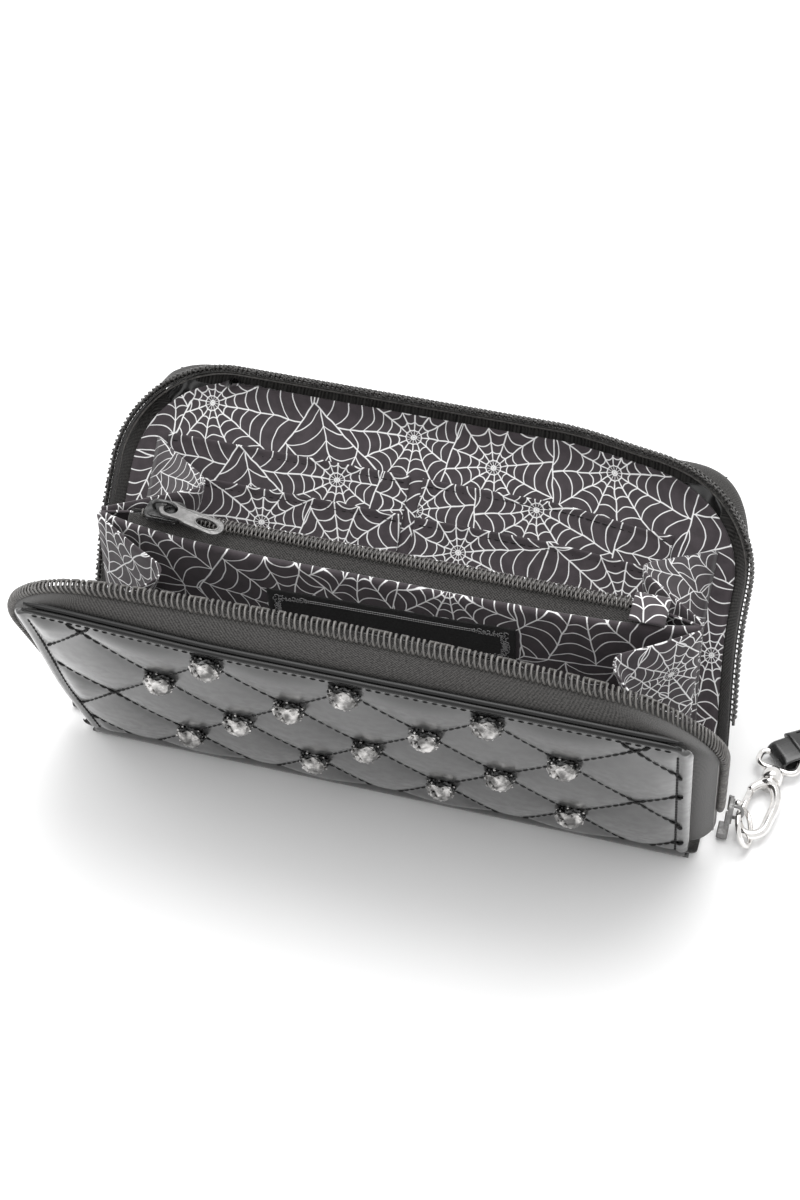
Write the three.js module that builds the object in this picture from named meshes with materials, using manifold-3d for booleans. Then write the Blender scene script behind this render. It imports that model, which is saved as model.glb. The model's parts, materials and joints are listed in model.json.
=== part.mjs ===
// A zip-around clutch wallet standing partly open on its spine: two quilted covers that hinge on the
// spine, a zipped coin pocket between them on four folded gussets, card slots, and a swivel clasp with
// a wrist strap on the ring of the main zip slider.
//
// Millimetres. +X runs along the wallet, +Y to the back, +Z up. The origin is the middle of the
// spine's underside, so the wallet stands on z = 0.

import * as THREE from "three";
import { mergeVertices } from "three/addons/utils/BufferGeometryUtils.js";
import Module from "manifold-3d";

const wasm = await Module();
wasm.setup();

// ---------- driving dimensions ----------

const GAP = 0.3; // left between pieces that touch
const SPINE_WIDTH = 25; // thickness of the closed wallet
const HINGE_HEIGHT = 2.4;
const FRONT_LEAN = 25; // degrees from upright at rest
const BACK_LEAN = 43;
const ZIP_RING = { width: 202, height: 101, radius: 36 }; // outer outline of the zip on each cover
const PANEL = { width: 186, height: 99, radius: 5 }; // quilted outer face of each cover
const BACK_PANEL_RADIUS = 18; // the back cover's panel is cut rounder
const BOARD_INSET = 9; // from the zip's outline
const PANEL_START = 2.5; // height above the hinge where a cover's stiff part begins
const TAPE_INSET = 0.9;
const FLANGE_WIDTH = 9;
const COIL_SIZE = 2.6;
const SLIDER_SIDE_COIL_START = 22; // the coil begins above the parked slider and its travel
const FREE_SIDE_COIL_START = 4;

// depths from a cover's outer face inwards: [start, end] of each layer
const DEPTH = {
  panel: [0, 1.8],
  board: [2.1, 3.1],
  flange: [3.4, 4.0],
  lining: [4.3, 4.9],
  tape: [3.4, 7.7],
  coil: [8.0, 12.2],
  slots: [5.2, 0.5, 0.8], // first slot's start, its thickness, and the step to the next
};

const STUD_COLUMN_PITCH = 38;
const STUD_ROW_PITCH = 23.5;
const STUD_TOP_ROW = 93;
const STUD_SHIFT = 2; // the quilting is cut a little off centre
const STUD_ROWS = [3, 4, 3, 4];

const SLOT_TOPS = [77, 65, 53];
const SLOT_BOTTOM = 8;
const SLOT_WIDTH = 78;
const SLOT_CENTRES = { left: 46, right: -36 };

const POCKET = { halfWidth: 84, wallInner: 3.2, wallOuter: 4.0, bottom: 3.5, top: 82 };
const POCKET_TAPE = { halfLength: 76, inner: 1.9, outer: 6.2, bottom: 84.0, top: 84.6 };
const POCKET_COIL = { start: -74, end: 67, height: 85.6, radius: 1.4 };
const POCKET_SLIDER_X = -66;
const PULL_DROOP = 4; // degrees below level at rest
const PULL_YAW = 12; // degrees, its tip towards the front
const LABEL = { halfWidth: 36, bottom: 56, top: 73.5, front: -4.9, back: -4.4 };

const MAIN_SLIDER = { x: 101, z: 11 };
const RING = { radius: 5.4, wire: 0.8, tilt: 65, y: -1 };
const CLASP = { length: 21, halfWidth: 5.3, wire: 2.2, thickness: 2.6, height: 3.8, heading: 80 };
const EYE = { start: 26.3, end: 34.5, halfWidth: 7, wire: 1.8, thickness: 2 };
const BARREL = { start: 21.3, end: 25.5, radius: 3.3, bore: 1.5 };

const STRAP_WIDTH = 10;
const STRAP_THICKNESS = 2.2;
const STRAP_HEADING = 40; // degrees in plan, from +X towards +Y

// ---------- materials ----------

function surface(color, roughness, metalness = 0) {
  return new THREE.MeshStandardMaterial({ color, roughness, metalness });
}

const VINYL = surface(0x4b4b50, 0.3);
const PIPING = surface(0x0c0c0d, 0.25);
const BOARD = surface(0x6b6459, 0.9);
const PRINT = surface(0x2b282a, 0.75);
const TAPE = surface(0x4b4b47, 0.85);
const COIL = surface(0x5a5a55, 0.4);
const STUD = surface(0x8a8a8c, 0.22, 1);
const SATIN = surface(0x8f8f8d, 0.35, 1);
const CHROME = surface(0xd8d6d0, 0.08, 1);
const LABEL_CLOTH = surface(0x101010, 0.8);
const STRAP_VINYL = surface(0x0b0b0c, 0.35);

// ---------- geometry helpers ----------

const radians = THREE.MathUtils.degToRad;

function place(group, name, geometry, material) {
  const mesh = new THREE.Mesh(geometry, material);
  mesh.name = name;
  group.add(mesh);
  return mesh;
}

function box(x, y, z) {
  const geometry = new THREE.BoxGeometry(x[1] - x[0], y[1] - y[0], z[1] - z[0]);
  return geometry.translate((x[0] + x[1]) / 2, (y[0] + y[1]) / 2, (z[0] + z[1]) / 2);
}

function solid(geometry) {
  const bare = geometry.clone();
  bare.deleteAttribute("normal");
  bare.deleteAttribute("uv");
  const merged = mergeVertices(bare, 1e-4);
  const vertProperties = new Float32Array(merged.attributes.position.array);
  const triVerts = new Uint32Array(merged.index.array);
  return new wasm.Manifold(new wasm.Mesh({ numProp: 3, vertProperties, triVerts }));
}

function geometryOf(manifold) {
  const { vertProperties, triVerts } = manifold.getMesh();
  const geometry = new THREE.BufferGeometry();
  geometry.setAttribute("position", new THREE.BufferAttribute(new Float32Array(vertProperties), 3));
  geometry.setIndex(new THREE.BufferAttribute(new Uint32Array(triVerts), 1));
  const faceted = geometry.toNonIndexed();
  faceted.computeVertexNormals();
  return faceted;
}

const joined = (...geometries) => geometryOf(geometries.map(solid).reduce((a, b) => a.add(b)));
const cut = (geometry, tool) => geometryOf(solid(geometry).subtract(solid(tool)));

// A flat shape given thickness along +Z, with no bevel.
function extruded(shape, depth, curveSegments) {
  return new THREE.ExtrudeGeometry(shape, { depth, bevelEnabled: false, curveSegments });
}

// A shape drawn in X and height, given depth along Y from near to far.
function slab(shape, near, far) {
  return extruded(shape, far - near, 8).rotateX(Math.PI / 2).translate(0, far, 0);
}

const inset = ({ width, height, radius }, by) => ({
  width: width - 2 * by,
  height: height - by,
  radius: radius - by,
});

// Draws an arch: up the left side from `left`, round both top corners and down to `right`.
function arch(path, { width, height, radius }, left, right, reversed = false) {
  const half = width / 2;
  const centre = height - radius;
  if (reversed) {
    path.lineTo(half, right);
    path.lineTo(half, centre);
    path.absarc(half - radius, centre, radius, 0, Math.PI / 2, false);
    path.lineTo(radius - half, height);
    path.absarc(radius - half, centre, radius, Math.PI / 2, Math.PI, false);
    path.lineTo(-half, left);
  } else {
    path.lineTo(-half, left);
    path.lineTo(-half, centre);
    path.absarc(radius - half, centre, radius, Math.PI, Math.PI / 2, true);
    path.lineTo(half - radius, height);
    path.absarc(half - radius, centre, radius, Math.PI / 2, 0, true);
    path.lineTo(half, right);
  }
}

function archPlate(outline, bottom) {
  const shape = new THREE.Shape();
  shape.moveTo(0, bottom);
  arch(shape, outline, bottom, bottom);
  return shape;
}

function archBand(outline, thickness, left, right = left) {
  const shape = new THREE.Shape();
  shape.moveTo(-outline.width / 2, left);
  arch(shape, outline, left, right);
  arch(shape, inset(outline, thickness), left, right, true);
  return shape;
}

function roundedBox(halfWidth, halfHeight, radius) {
  const shape = new THREE.Shape();
  shape.absarc(halfWidth - radius, halfHeight - radius, radius, 0, Math.PI / 2);
  shape.absarc(radius - halfWidth, halfHeight - radius, radius, Math.PI / 2, Math.PI);
  shape.absarc(radius - halfWidth, radius - halfHeight, radius, Math.PI, 1.5 * Math.PI);
  shape.absarc(halfWidth - radius, radius - halfHeight, radius, 1.5 * Math.PI, 2 * Math.PI);
  return shape;
}

// ---------- covers ----------

function stud() {
  const profile = [
    [0, 0],
    [4.2, 0],
    [4.2, 1.2],
    [3.4, 1.7],
    [1.7, 4.7],
    [0, 5.3],
  ].map(([r, h]) => new THREE.Vector2(r, h));
  return new THREE.LatheGeometry(profile, 8).rotateX(Math.PI);
}

// One cover in its own frame: hinge along X at the origin, height along Z, depth inwards along +Y.
function cover(side, sliderSign) {
  const group = new THREE.Group();
  const coilStarts = [SLIDER_SIDE_COIL_START, FREE_SIDE_COIL_START];
  const [left, right] = sliderSign < 0 ? coilStarts : coilStarts.reverse();
  const tapeOutline = inset(ZIP_RING, TAPE_INSET);
  const panel = side === "front" ? PANEL : { ...PANEL, radius: BACK_PANEL_RADIUS };
  place(group, `${side}_cover_panel`, slab(archPlate(panel, PANEL_START), ...DEPTH.panel), VINYL);
  const board = slab(archPlate(inset(ZIP_RING, BOARD_INSET), PANEL_START + 2), ...DEPTH.board);
  place(group, `${side}_cover_board`, board, BOARD);
  const lining = slab(archPlate(inset(ZIP_RING, 2.2), PANEL_START), ...DEPTH.lining);
  place(group, `${side}_cover_lining`, lining, PRINT);
  const wall = slab(archBand(tapeOutline, 0.8, PANEL_START), ...DEPTH.tape);
  const flange = slab(archBand(tapeOutline, FLANGE_WIDTH, PANEL_START), ...DEPTH.flange);
  place(group, `${side}_zipper_tape`, joined(wall, flange), TAPE);
  place(group, `${side}_zipper_coil`, slab(archBand(ZIP_RING, COIL_SIZE, left, right), ...DEPTH.coil), COIL);
  const weltEnd = panel.width / 2 - panel.radius;
  const weltStart = panel.height + GAP;
  place(group, `${side}_piping`, box([-weltEnd, weltEnd], [0, 2], [weltStart, weltStart + 1.8]), PIPING);
  return group;
}

function addStuds(group) {
  let count = 0;
  STUD_ROWS.forEach((columns, row) => {
    for (let column = 0; column < columns; column += 1) {
      count += 1;
      const mesh = place(group, `stud_${count}`, stud(), STUD);
      const x = STUD_SHIFT + (column - (columns - 1) / 2) * STUD_COLUMN_PITCH;
      mesh.position.set(x, -GAP, STUD_TOP_ROW - row * STUD_ROW_PITCH);
    }
  });
}

function addCardSlots(group) {
  const [first, thickness, step] = DEPTH.slots;
  for (const [name, centre] of Object.entries(SLOT_CENTRES)) {
    SLOT_TOPS.forEach((top, index) => {
      const near = first + index * step;
      const x = [centre - SLOT_WIDTH / 2, centre + SLOT_WIDTH / 2];
      const geometry = box(x, [near, near + thickness], [SLOT_BOTTOM, top]);
      place(group, `card_slot_${name}_${index + 1}`, geometry, PRINT);
    });
  }
}

function covers() {
  const front = cover("front", 1);
  front.position.set(0, -SPINE_WIDTH / 2, HINGE_HEIGHT);
  front.rotation.x = radians(FRONT_LEAN);
  addStuds(front);
  const back = cover("back", -1);
  back.position.set(0, SPINE_WIDTH / 2, HINGE_HEIGHT);
  back.rotation.set(radians(-BACK_LEAN), 0, Math.PI);
  addCardSlots(back);
  return [front, back];
}

// ---------- spine, coin pocket and gussets ----------

function spine() {
  const group = new THREE.Group();
  const half = SPINE_WIDTH / 2 - GAP;
  place(group, "spine_panel", box([-93, 93], [-half, half], [0, 1]), VINYL);
  place(group, "spine_lining", box([-88, 88], [1 - half, half - 1], [1.3, 2.1]), PRINT);
  place(group, "zipper_bottom_stop", box([99.4, 102.6], [-2.6, 2.6], [0.6, 3]), SATIN);
  place(group, "zipper_end_tab", box([-103, -94], [-4.5, 4.5], [0.4, 3.6]), TAPE);
  return group;
}

function coinPocket() {
  const group = new THREE.Group();
  const { halfWidth, wallInner, wallOuter, bottom, top } = POCKET;
  const x = [-halfWidth, halfWidth];
  place(group, "pocket_front_wall", box(x, [-wallOuter, -wallInner], [bottom, top]), PRINT);
  place(group, "pocket_back_wall", box(x, [wallInner, wallOuter], [bottom, top]), PRINT);
  const tape = POCKET_TAPE;
  const along = [-tape.halfLength, tape.halfLength];
  place(group, "pocket_front_tape", box(along, [-tape.outer, -tape.inner], [tape.bottom, tape.top]), TAPE);
  place(group, "pocket_back_tape", box(along, [tape.inner, tape.outer], [tape.bottom, tape.top]), TAPE);
  const coil = POCKET_COIL;
  const bar = new THREE.CylinderGeometry(coil.radius, coil.radius, coil.end - coil.start, 8);
  bar.rotateZ(Math.PI / 2).translate((coil.start + coil.end) / 2, 0, coil.height);
  place(group, "pocket_coil", bar, COIL);
  place(group, "pocket_end_tab", box([coil.end + GAP, coil.end + 9], [-5.5, 5.5], [84.9, 86.3]), PRINT);
  const labelSpan = [-LABEL.halfWidth, LABEL.halfWidth];
  const label = box(labelSpan, [LABEL.front, LABEL.back], [LABEL.bottom, LABEL.top]);
  place(group, "pocket_label", label, LABEL_CLOTH);
  return group;
}

// A folded strip seen from above, from the pocket's side seam in to the fold and out to the cover,
// trimmed along the cover's inner face.
function gusset(xSign, ySign) {
  const lean = ySign < 0 ? FRONT_LEAN : BACK_LEAN;
  const clear = ySign < 0 ? DEPTH.lining[1] : DEPTH.slots[0] + 2 * DEPTH.slots[2] + DEPTH.slots[1];
  const fold = [65, 22];
  const hem = ySign < 0 ? [88, 40] : [88, 56];
  const plan = [[87.8, 1], fold, hem, [hem[0] + 1.2, hem[1] - 0.6], [fold[0] + 1.8, fold[1]], [88.9, 1.6]];
  const shape = new THREE.Shape(plan.map(([x, y]) => new THREE.Vector2(xSign * x, ySign * y)));
  const prism = extruded(shape, 74, 1).translate(0, 0, 6);
  const beyond = box([-120, 120], [-80, clear + GAP], [-60, 200]);
  if (ySign > 0) beyond.rotateZ(Math.PI);
  beyond.rotateX(radians(-ySign * lean)).translate(0, (ySign * SPINE_WIDTH) / 2, HINGE_HEIGHT);
  return cut(prism, beyond);
}

function gussets() {
  const group = new THREE.Group();
  for (const [side, ySign] of [["front", -1], ["back", 1]]) {
    place(group, `gusset_${side}_left`, gusset(-1, ySign), PRINT);
    place(group, `gusset_${side}_right`, gusset(1, ySign), PRINT);
  }
  return group;
}

// ---------- sliders and pulls ----------

// A slider over a coil of the given radius: travel along X, outwards along Z, coil centre at origin.
function slider(coilRadius, length, width, plate, window) {
  const base = coilRadius + GAP;
  const top = base + plate;
  const body = roundedBox(length / 2, width / 2, 2);
  const deck = extruded(body, plate, 4).translate(0, 0, base);
  const reach = length / 2 - 1;
  const left = box([-reach, reach], [0.2 - width / 2, 1 - width / 2], [base - 0.8, base + plate / 2]);
  const right = box([-reach, reach], [width / 2 - 1, width / 2 - 0.2], [base - 0.8, base + plate / 2]);
  const half = window.length / 2;
  const bridge = box([-half - 1, half + 1], [-1, 1], [top - 0.2, top + window.height + 1]);
  const hole = box([-half, half], [-2, 2], [top, top + window.height]);
  const frame = joined(deck, left, right, bridge);
  return { geometry: cut(frame, hole), windowHeight: top + window.height / 2 };
}

function pullTab() {
  const shape = new THREE.Shape();
  shape.moveTo(-0.6, -1);
  shape.lineTo(0.5, -2.9);
  shape.lineTo(4.8, -2.9);
  shape.lineTo(6.6, -2.5);
  shape.lineTo(9, -3);
  shape.absarc(16.6, 0, 3, -Math.PI / 2, Math.PI / 2);
  shape.lineTo(9, 3);
  shape.lineTo(6.6, 2.5);
  shape.lineTo(4.8, 2.9);
  shape.lineTo(0.5, 2.9);
  shape.lineTo(-0.6, 1);
  const corners = [[0.6, -2.1], [4.8, -2.1], [4.8, 2.1], [0.6, 2.1]];
  const slot = new THREE.Path(corners.map(([x, y]) => new THREE.Vector2(x, y)));
  const finger = new THREE.Path();
  finger.absellipse(14.4, 0, 3.4, 1.7, 0, 2 * Math.PI);
  shape.holes.push(slot, finger);
  return extruded(shape, 1, 8).translate(0, 0, -0.5);
}

function pocketSlider() {
  const group = new THREE.Group();
  const made = slider(POCKET_COIL.radius, 11, 8, 1.1, { length: 4, height: 2 });
  place(group, "pocket_slider", made.geometry, SATIN).position.set(POCKET_SLIDER_X, 0, POCKET_COIL.height);
  const pull = place(group, "pocket_pull", pullTab(), SATIN);
  pull.position.set(POCKET_SLIDER_X - 1.1, 0, POCKET_COIL.height + made.windowHeight);
  pull.rotation.set(0, radians(PULL_DROOP), radians(-PULL_YAW));
  return group;
}

// ---------- main slider, ring, clasp and strap ----------

const ringCentre = (() => {
  const windowX = MAIN_SLIDER.x + COIL_SIZE / 2 + GAP + 1.1 + 1.1;
  const tilt = radians(RING.tilt);
  return new THREE.Vector3(
    windowX + RING.radius * Math.cos(tilt),
    RING.y,
    MAIN_SLIDER.z - RING.radius * Math.sin(tilt),
  );
})();

function mainSlider() {
  const group = new THREE.Group();
  const made = slider(COIL_SIZE / 2, 11, 9, 1.1, { length: 4.6, height: 2.2 });
  const body = place(group, "main_slider", made.geometry, SATIN);
  body.position.set(MAIN_SLIDER.x, 0, MAIN_SLIDER.z);
  body.rotation.y = Math.PI / 2;
  const ring = place(group, "slider_ring", new THREE.TorusGeometry(RING.radius, RING.wire, 8, 24), CHROME);
  ring.position.copy(ringCentre);
  ring.rotation.y = radians(RING.tilt);
  return group;
}

function claspHook() {
  const { length, halfWidth, wire, thickness } = CLASP;
  const shape = new THREE.Shape();
  shape.absarc(halfWidth - wire / 2, 0, halfWidth, Math.PI / 2, 1.5 * Math.PI);
  shape.lineTo(13, -halfWidth);
  shape.quadraticCurveTo(18, -halfWidth, 19, -2.8);
  shape.lineTo(length, -2.8);
  shape.lineTo(length, 2.8);
  shape.lineTo(19, 2.8);
  shape.quadraticCurveTo(18, halfWidth, 14, halfWidth);
  const eye = new THREE.Path();
  const inner = halfWidth - wire;
  eye.absarc(halfWidth - wire / 2, 0, inner, Math.PI / 2, 1.5 * Math.PI);
  eye.absarc(13, 0, inner, -Math.PI / 2, Math.PI / 2);
  shape.holes.push(eye);
  const plate = extruded(shape, thickness, 10).translate(0, 0, -thickness / 2);
  const mouth = box([5.7, 16.3], [2.5, 9], [-3, 3]);
  const post = new THREE.CylinderGeometry(1.2, 1.2, 5, 10).rotateZ(Math.PI / 2).translate(length + 1.5, 0, 0);
  return geometryOf(solid(plate).subtract(solid(mouth)).add(solid(post)));
}

function claspGate() {
  const bar = box([6, 16], [3.1, 5.3], [-1.2, 1.2]);
  const knob = new THREE.CylinderGeometry(1.3, 1.3, 2.2, 10).translate(9.5, 6, 0);
  return joined(bar, knob);
}

function swivelEye() {
  const { start, end, radius, bore } = BARREL;
  const profile = [[bore, start], [radius, start], [radius, end], [bore, end], [bore, start]];
  const sleeve = new THREE.LatheGeometry(profile.map(([r, x]) => new THREE.Vector2(r, x)), 14);
  const cap = new THREE.CylinderGeometry(2.6, radius, 1.4, 14).translate(0, end + 0.5, 0);
  const outline = roundedBox((EYE.end - EYE.start) / 2, EYE.halfWidth, 3);
  const window = roundedBox((EYE.end - EYE.start) / 2 - EYE.wire, EYE.halfWidth - EYE.wire, 1.4);
  outline.holes.push(window);
  const loop = extruded(outline, EYE.thickness, 5);
  loop.translate((EYE.start + EYE.end) / 2, 0, -EYE.thickness / 2);
  return joined(sleeve.rotateZ(-Math.PI / 2), cap.rotateZ(-Math.PI / 2), loop);
}

function clasp() {
  const group = new THREE.Group();
  place(group, "clasp_hook", claspHook(), CHROME);
  place(group, "clasp_gate", claspGate(), CHROME);
  place(group, "swivel_eye", swivelEye(), CHROME);
  group.position.set(ringCentre.x + 0.9, RING.y + 0.2, CLASP.height);
  group.rotation.z = radians(CLASP.heading);
  return group;
}

// The strap's loop, as distance from the eye and height: out along the top, round the far end and
// back along the table.
const STRAP_ROUTE = [
  [3, 5.6], [10, 4.9], [22, 5.2], [36, 6.6], [52, 9.2], [70, 12.4], [88, 15.6], [104, 18.0], [118, 19.0],
  [129, 17.4], [136, 13.0], [138, 8.2], [134, 3.8], [126, 1.6], [114, 1.3], [96, 1.3], [76, 1.3], [56, 1.3],
  [38, 1.3], [22, 1.3], [10, 1.3], [3, 1.5],
];

function strap() {
  const group = new THREE.Group();
  const route = STRAP_ROUTE.map(([out, height]) => new THREE.Vector3(out, 0, height));
  const section = roundedBox(STRAP_WIDTH / 2, STRAP_THICKNESS / 2, 0.9);
  const extrudePath = new THREE.CatmullRomCurve3(route);
  const band = new THREE.ExtrudeGeometry(section, { extrudePath, steps: 40, curveSegments: 2 });
  place(group, "wrist_strap", band, STRAP_VINYL);
  const rivet = new THREE.CylinderGeometry(3, 3, 1, 12).rotateX(Math.PI / 2).translate(14, 0, 7.0);
  place(group, "strap_rivet", rivet, CHROME);
  const heading = radians(CLASP.heading);
  const bar = EYE.end + GAP;
  group.position.set(
    ringCentre.x + 0.9 + bar * Math.cos(heading),
    RING.y + 0.2 + bar * Math.sin(heading),
    0,
  );
  group.rotation.z = radians(STRAP_HEADING);
  return group;
}

// ---------- assembly ----------

const wallet = new THREE.Group();
wallet.add(spine(), ...covers(), coinPocket(), gussets(), pocketSlider(), mainSlider(), clasp(), strap());

export default wallet;
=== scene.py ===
import json
import math
import random

import bpy
import numpy as np
from mathutils import Matrix, Vector, noise


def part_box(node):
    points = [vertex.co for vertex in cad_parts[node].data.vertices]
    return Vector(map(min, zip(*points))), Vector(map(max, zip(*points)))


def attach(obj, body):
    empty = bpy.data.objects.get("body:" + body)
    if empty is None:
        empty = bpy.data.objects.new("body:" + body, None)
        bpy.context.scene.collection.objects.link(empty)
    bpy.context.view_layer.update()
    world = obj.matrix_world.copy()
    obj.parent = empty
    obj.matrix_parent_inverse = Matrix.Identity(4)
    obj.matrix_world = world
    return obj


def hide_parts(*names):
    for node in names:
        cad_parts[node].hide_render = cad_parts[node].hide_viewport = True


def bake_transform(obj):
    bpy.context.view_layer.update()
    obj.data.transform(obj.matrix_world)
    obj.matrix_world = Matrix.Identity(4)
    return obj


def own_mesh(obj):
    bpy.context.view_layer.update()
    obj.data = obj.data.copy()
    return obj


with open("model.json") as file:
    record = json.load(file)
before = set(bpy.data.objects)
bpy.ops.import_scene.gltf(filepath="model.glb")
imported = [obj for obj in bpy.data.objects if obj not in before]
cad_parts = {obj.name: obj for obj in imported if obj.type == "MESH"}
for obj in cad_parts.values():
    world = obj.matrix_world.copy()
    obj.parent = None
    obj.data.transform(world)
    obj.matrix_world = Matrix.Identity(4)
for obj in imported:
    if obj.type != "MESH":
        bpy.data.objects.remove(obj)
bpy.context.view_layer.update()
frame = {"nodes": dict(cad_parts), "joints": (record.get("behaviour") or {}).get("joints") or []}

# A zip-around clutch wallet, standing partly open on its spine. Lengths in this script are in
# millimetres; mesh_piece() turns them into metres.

MM = 0.001
RANDOM = random.Random(7)


def joint(name):
    return next(j for j in frame["joints"] if j["name"] == name)


def box(node):
    low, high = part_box(node)
    return np.array(low) / MM, np.array(high) / MM


def smoothstep(x):
    x = np.clip(x, 0, 1)
    return x * x * (3 - 2 * x)


# ---------- camera, floor and light ----------

CAMERA = {"azimuth": 15.6, "elevation": 44.4, "distance": 586.6, "target": (2.2, 0, 70.8), "lens": 62.64}


def make_camera():
    azimuth, elevation = math.radians(CAMERA["azimuth"]), math.radians(CAMERA["elevation"])
    back = Vector((
        math.sin(azimuth) * math.cos(elevation),
        -math.cos(azimuth) * math.cos(elevation),
        math.sin(elevation),
    ))
    data = bpy.data.cameras.new("camera")
    data.sensor_fit, data.sensor_width, data.lens = "AUTO", 36, CAMERA["lens"]
    data.clip_start, data.clip_end = 0.01, 20
    camera = bpy.data.objects.new("camera", data)
    camera.location = (Vector(CAMERA["target"]) + back * CAMERA["distance"]) * MM
    camera.rotation_euler = (-back).to_track_quat("-Z", "Y").to_euler()
    bpy.context.scene.collection.objects.link(camera)
    bpy.context.scene.camera = camera


def area_light(name, location, target, size, power):
    data = bpy.data.lights.new(name, "AREA")
    data.shape, data.size, data.energy = "DISK", size, power
    light = bpy.data.objects.new(name, data)
    light.location = location
    light.rotation_euler = (Vector(target) - Vector(location)).to_track_quat("-Z", "Y").to_euler()
    bpy.context.scene.collection.objects.link(light)


def make_stage():
    world = bpy.data.worlds.new("studio")
    bpy.context.scene.world = world
    world.use_nodes = True
    world.node_tree.nodes["Background"].inputs["Color"].default_value = (1, 1, 1, 1)
    world.node_tree.nodes["Background"].inputs["Strength"].default_value = 1.0
    area_light("key", (0.1, 0.3, 1.1), (0, 0, 0.04), 1.0, 8)
    area_light("top", (-0.3, -0.2, 1.0), (0, 0, 0.04), 0.8, 3)
    mesh = bpy.data.meshes.new("floor")
    reach = 4
    mesh.from_pydata([(-reach, -reach, 0), (reach, -reach, 0), (reach, reach, 0), (-reach, reach, 0)], [],
                     [(0, 1, 2, 3)])
    floor = bpy.data.objects.new("floor", mesh)
    floor.location.z = -0.0002
    material = bpy.data.materials.new("floor")
    material.use_nodes = True
    shader = material.node_tree.nodes["Principled BSDF"]
    shader.inputs["Base Color"].default_value = (0.92, 0.92, 0.92, 1)
    shader.inputs["Roughness"].default_value = 0.9
    shader.inputs["Specular IOR Level"].default_value = 0.1
    mesh.materials.append(material)
    bpy.context.scene.collection.objects.link(floor)
    bpy.context.scene.view_settings.view_transform = "Standard"


# ---------- materials ----------

class Graph:
    """A material whose nodes are wired by short calls. `flat` is the piece's own coordinates in mm."""

    def __init__(self, name, roughness, metallic=0.0, coat=0.0, sheen=0.0, specular=0.5):
        self.material = bpy.data.materials.new(name)
        self.material.use_nodes = True
        self.tree = self.material.node_tree
        self.shader = self.tree.nodes["Principled BSDF"]
        settings = {
            "Roughness": roughness, "Metallic": metallic, "Coat Weight": coat, "Coat Roughness": 0.18,
            "Sheen Weight": sheen, "Specular IOR Level": specular,
        }
        for key, value in settings.items():
            self.shader.inputs[key].default_value = value
        self.flat = self.node("ShaderNodeAttribute", attribute_name="flat").outputs["Vector"]

    def feed(self, socket, value):
        if isinstance(value, bpy.types.NodeSocket):
            self.tree.links.new(value, socket)
        elif hasattr(socket.default_value, "__len__") and not hasattr(value, "__len__"):
            socket.default_value = [value] * len(socket.default_value)
        else:
            socket.default_value = value

    def node(self, kind, inputs=(), **settings):
        made = self.tree.nodes.new(kind)
        for key, value in settings.items():
            setattr(made, key, value)
        for key, value in dict(inputs).items():
            self.feed(made.inputs[key], value)
        return made

    def math(self, operation, *values):
        return self.node("ShaderNodeMath", dict(enumerate(values)), operation=operation).outputs[0]

    def vector(self, operation, *values):
        made = self.node("ShaderNodeVectorMath", dict(enumerate(values)), operation=operation)
        return made.outputs["Vector"]

    def scaled(self, vector, factor):
        inputs = {"Vector": vector, "Scale": factor}
        return self.node("ShaderNodeVectorMath", inputs, operation="SCALE").outputs["Vector"]

    def length(self, vector):
        return self.node("ShaderNodeVectorMath", {"Vector": vector}, operation="LENGTH").outputs["Value"]

    def parts(self, vector):
        """The X, Y and Z of a vector."""
        return self.node("ShaderNodeSeparateXYZ", {"Vector": vector}).outputs

    def noise(self, scale, detail=2, roughness=0.5, output="Fac"):
        """Noise with `scale` features in a millimetre."""
        inputs = {"Vector": self.flat, "Scale": scale, "Detail": detail, "Roughness": roughness}
        return self.node("ShaderNodeTexNoise", inputs).outputs[output]

    def patches(self, scale, to_low=0.0, to_high=1.0):
        """Soft patches of noise, spread over all the values from one end to the other."""
        return self.ramp(self.noise(scale, 3), 0.3, 0.7, to_low, to_high)

    def mix(self, factor, a, b):
        made = self.tree.nodes.new("ShaderNodeMix")
        made.data_type = "RGBA"
        self.feed(made.inputs["Factor"], factor)
        self.feed(made.inputs["A"], rgba(a))
        self.feed(made.inputs["B"], rgba(b))
        return made.outputs["Result"]

    def ramp(self, value, low, high, to_low=0.0, to_high=1.0):
        inputs = {"Value": value, "From Min": low, "From Max": high, "To Min": to_low, "To Max": to_high}
        return self.node("ShaderNodeMapRange", inputs, interpolation_type="SMOOTHSTEP").outputs["Result"]

    def colour(self, value):
        self.feed(self.shader.inputs["Base Color"], rgba(value))

    def bump(self, height, distance, strength=1.0, normal=None):
        """A bump of `distance` millimetres."""
        inputs = {"Height": height, "Distance": distance * MM, "Strength": strength}
        if normal is not None:
            inputs["Normal"] = normal
        made = self.node("ShaderNodeBump", inputs).outputs["Normal"]
        self.feed(self.shader.inputs["Normal"], made)
        return made

    def rough(self, value):
        self.feed(self.shader.inputs["Roughness"], value)


def rgba(value):
    return (*value, 1) if isinstance(value, tuple) and len(value) == 3 else value


def grey(value, warm=0.0):
    return (value * (1 + warm), value, value * (1 - warm))


def leather(name, dark, light, roughness, coat, grain, specular=0.5):
    """Coated vinyl: cloudy base colour, fine pebble grain and slightly uneven gloss."""
    g = Graph(name, roughness=roughness, coat=coat, specular=specular)
    cloud = g.patches(0.02)
    g.colour(g.mix(cloud, dark, light))
    pebbles = g.node("ShaderNodeTexVoronoi", {"Vector": g.flat, "Scale": 1.4}, feature="SMOOTH_F1")
    normal = g.bump(pebbles.outputs["Distance"], grain, 0.5)
    g.bump(g.noise(0.09), grain * 25, 0.5, normal)
    g.rough(g.patches(0.3, roughness - 0.05, roughness + 0.06))
    return g.material


TWILL_RIB = 0.9


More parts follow.
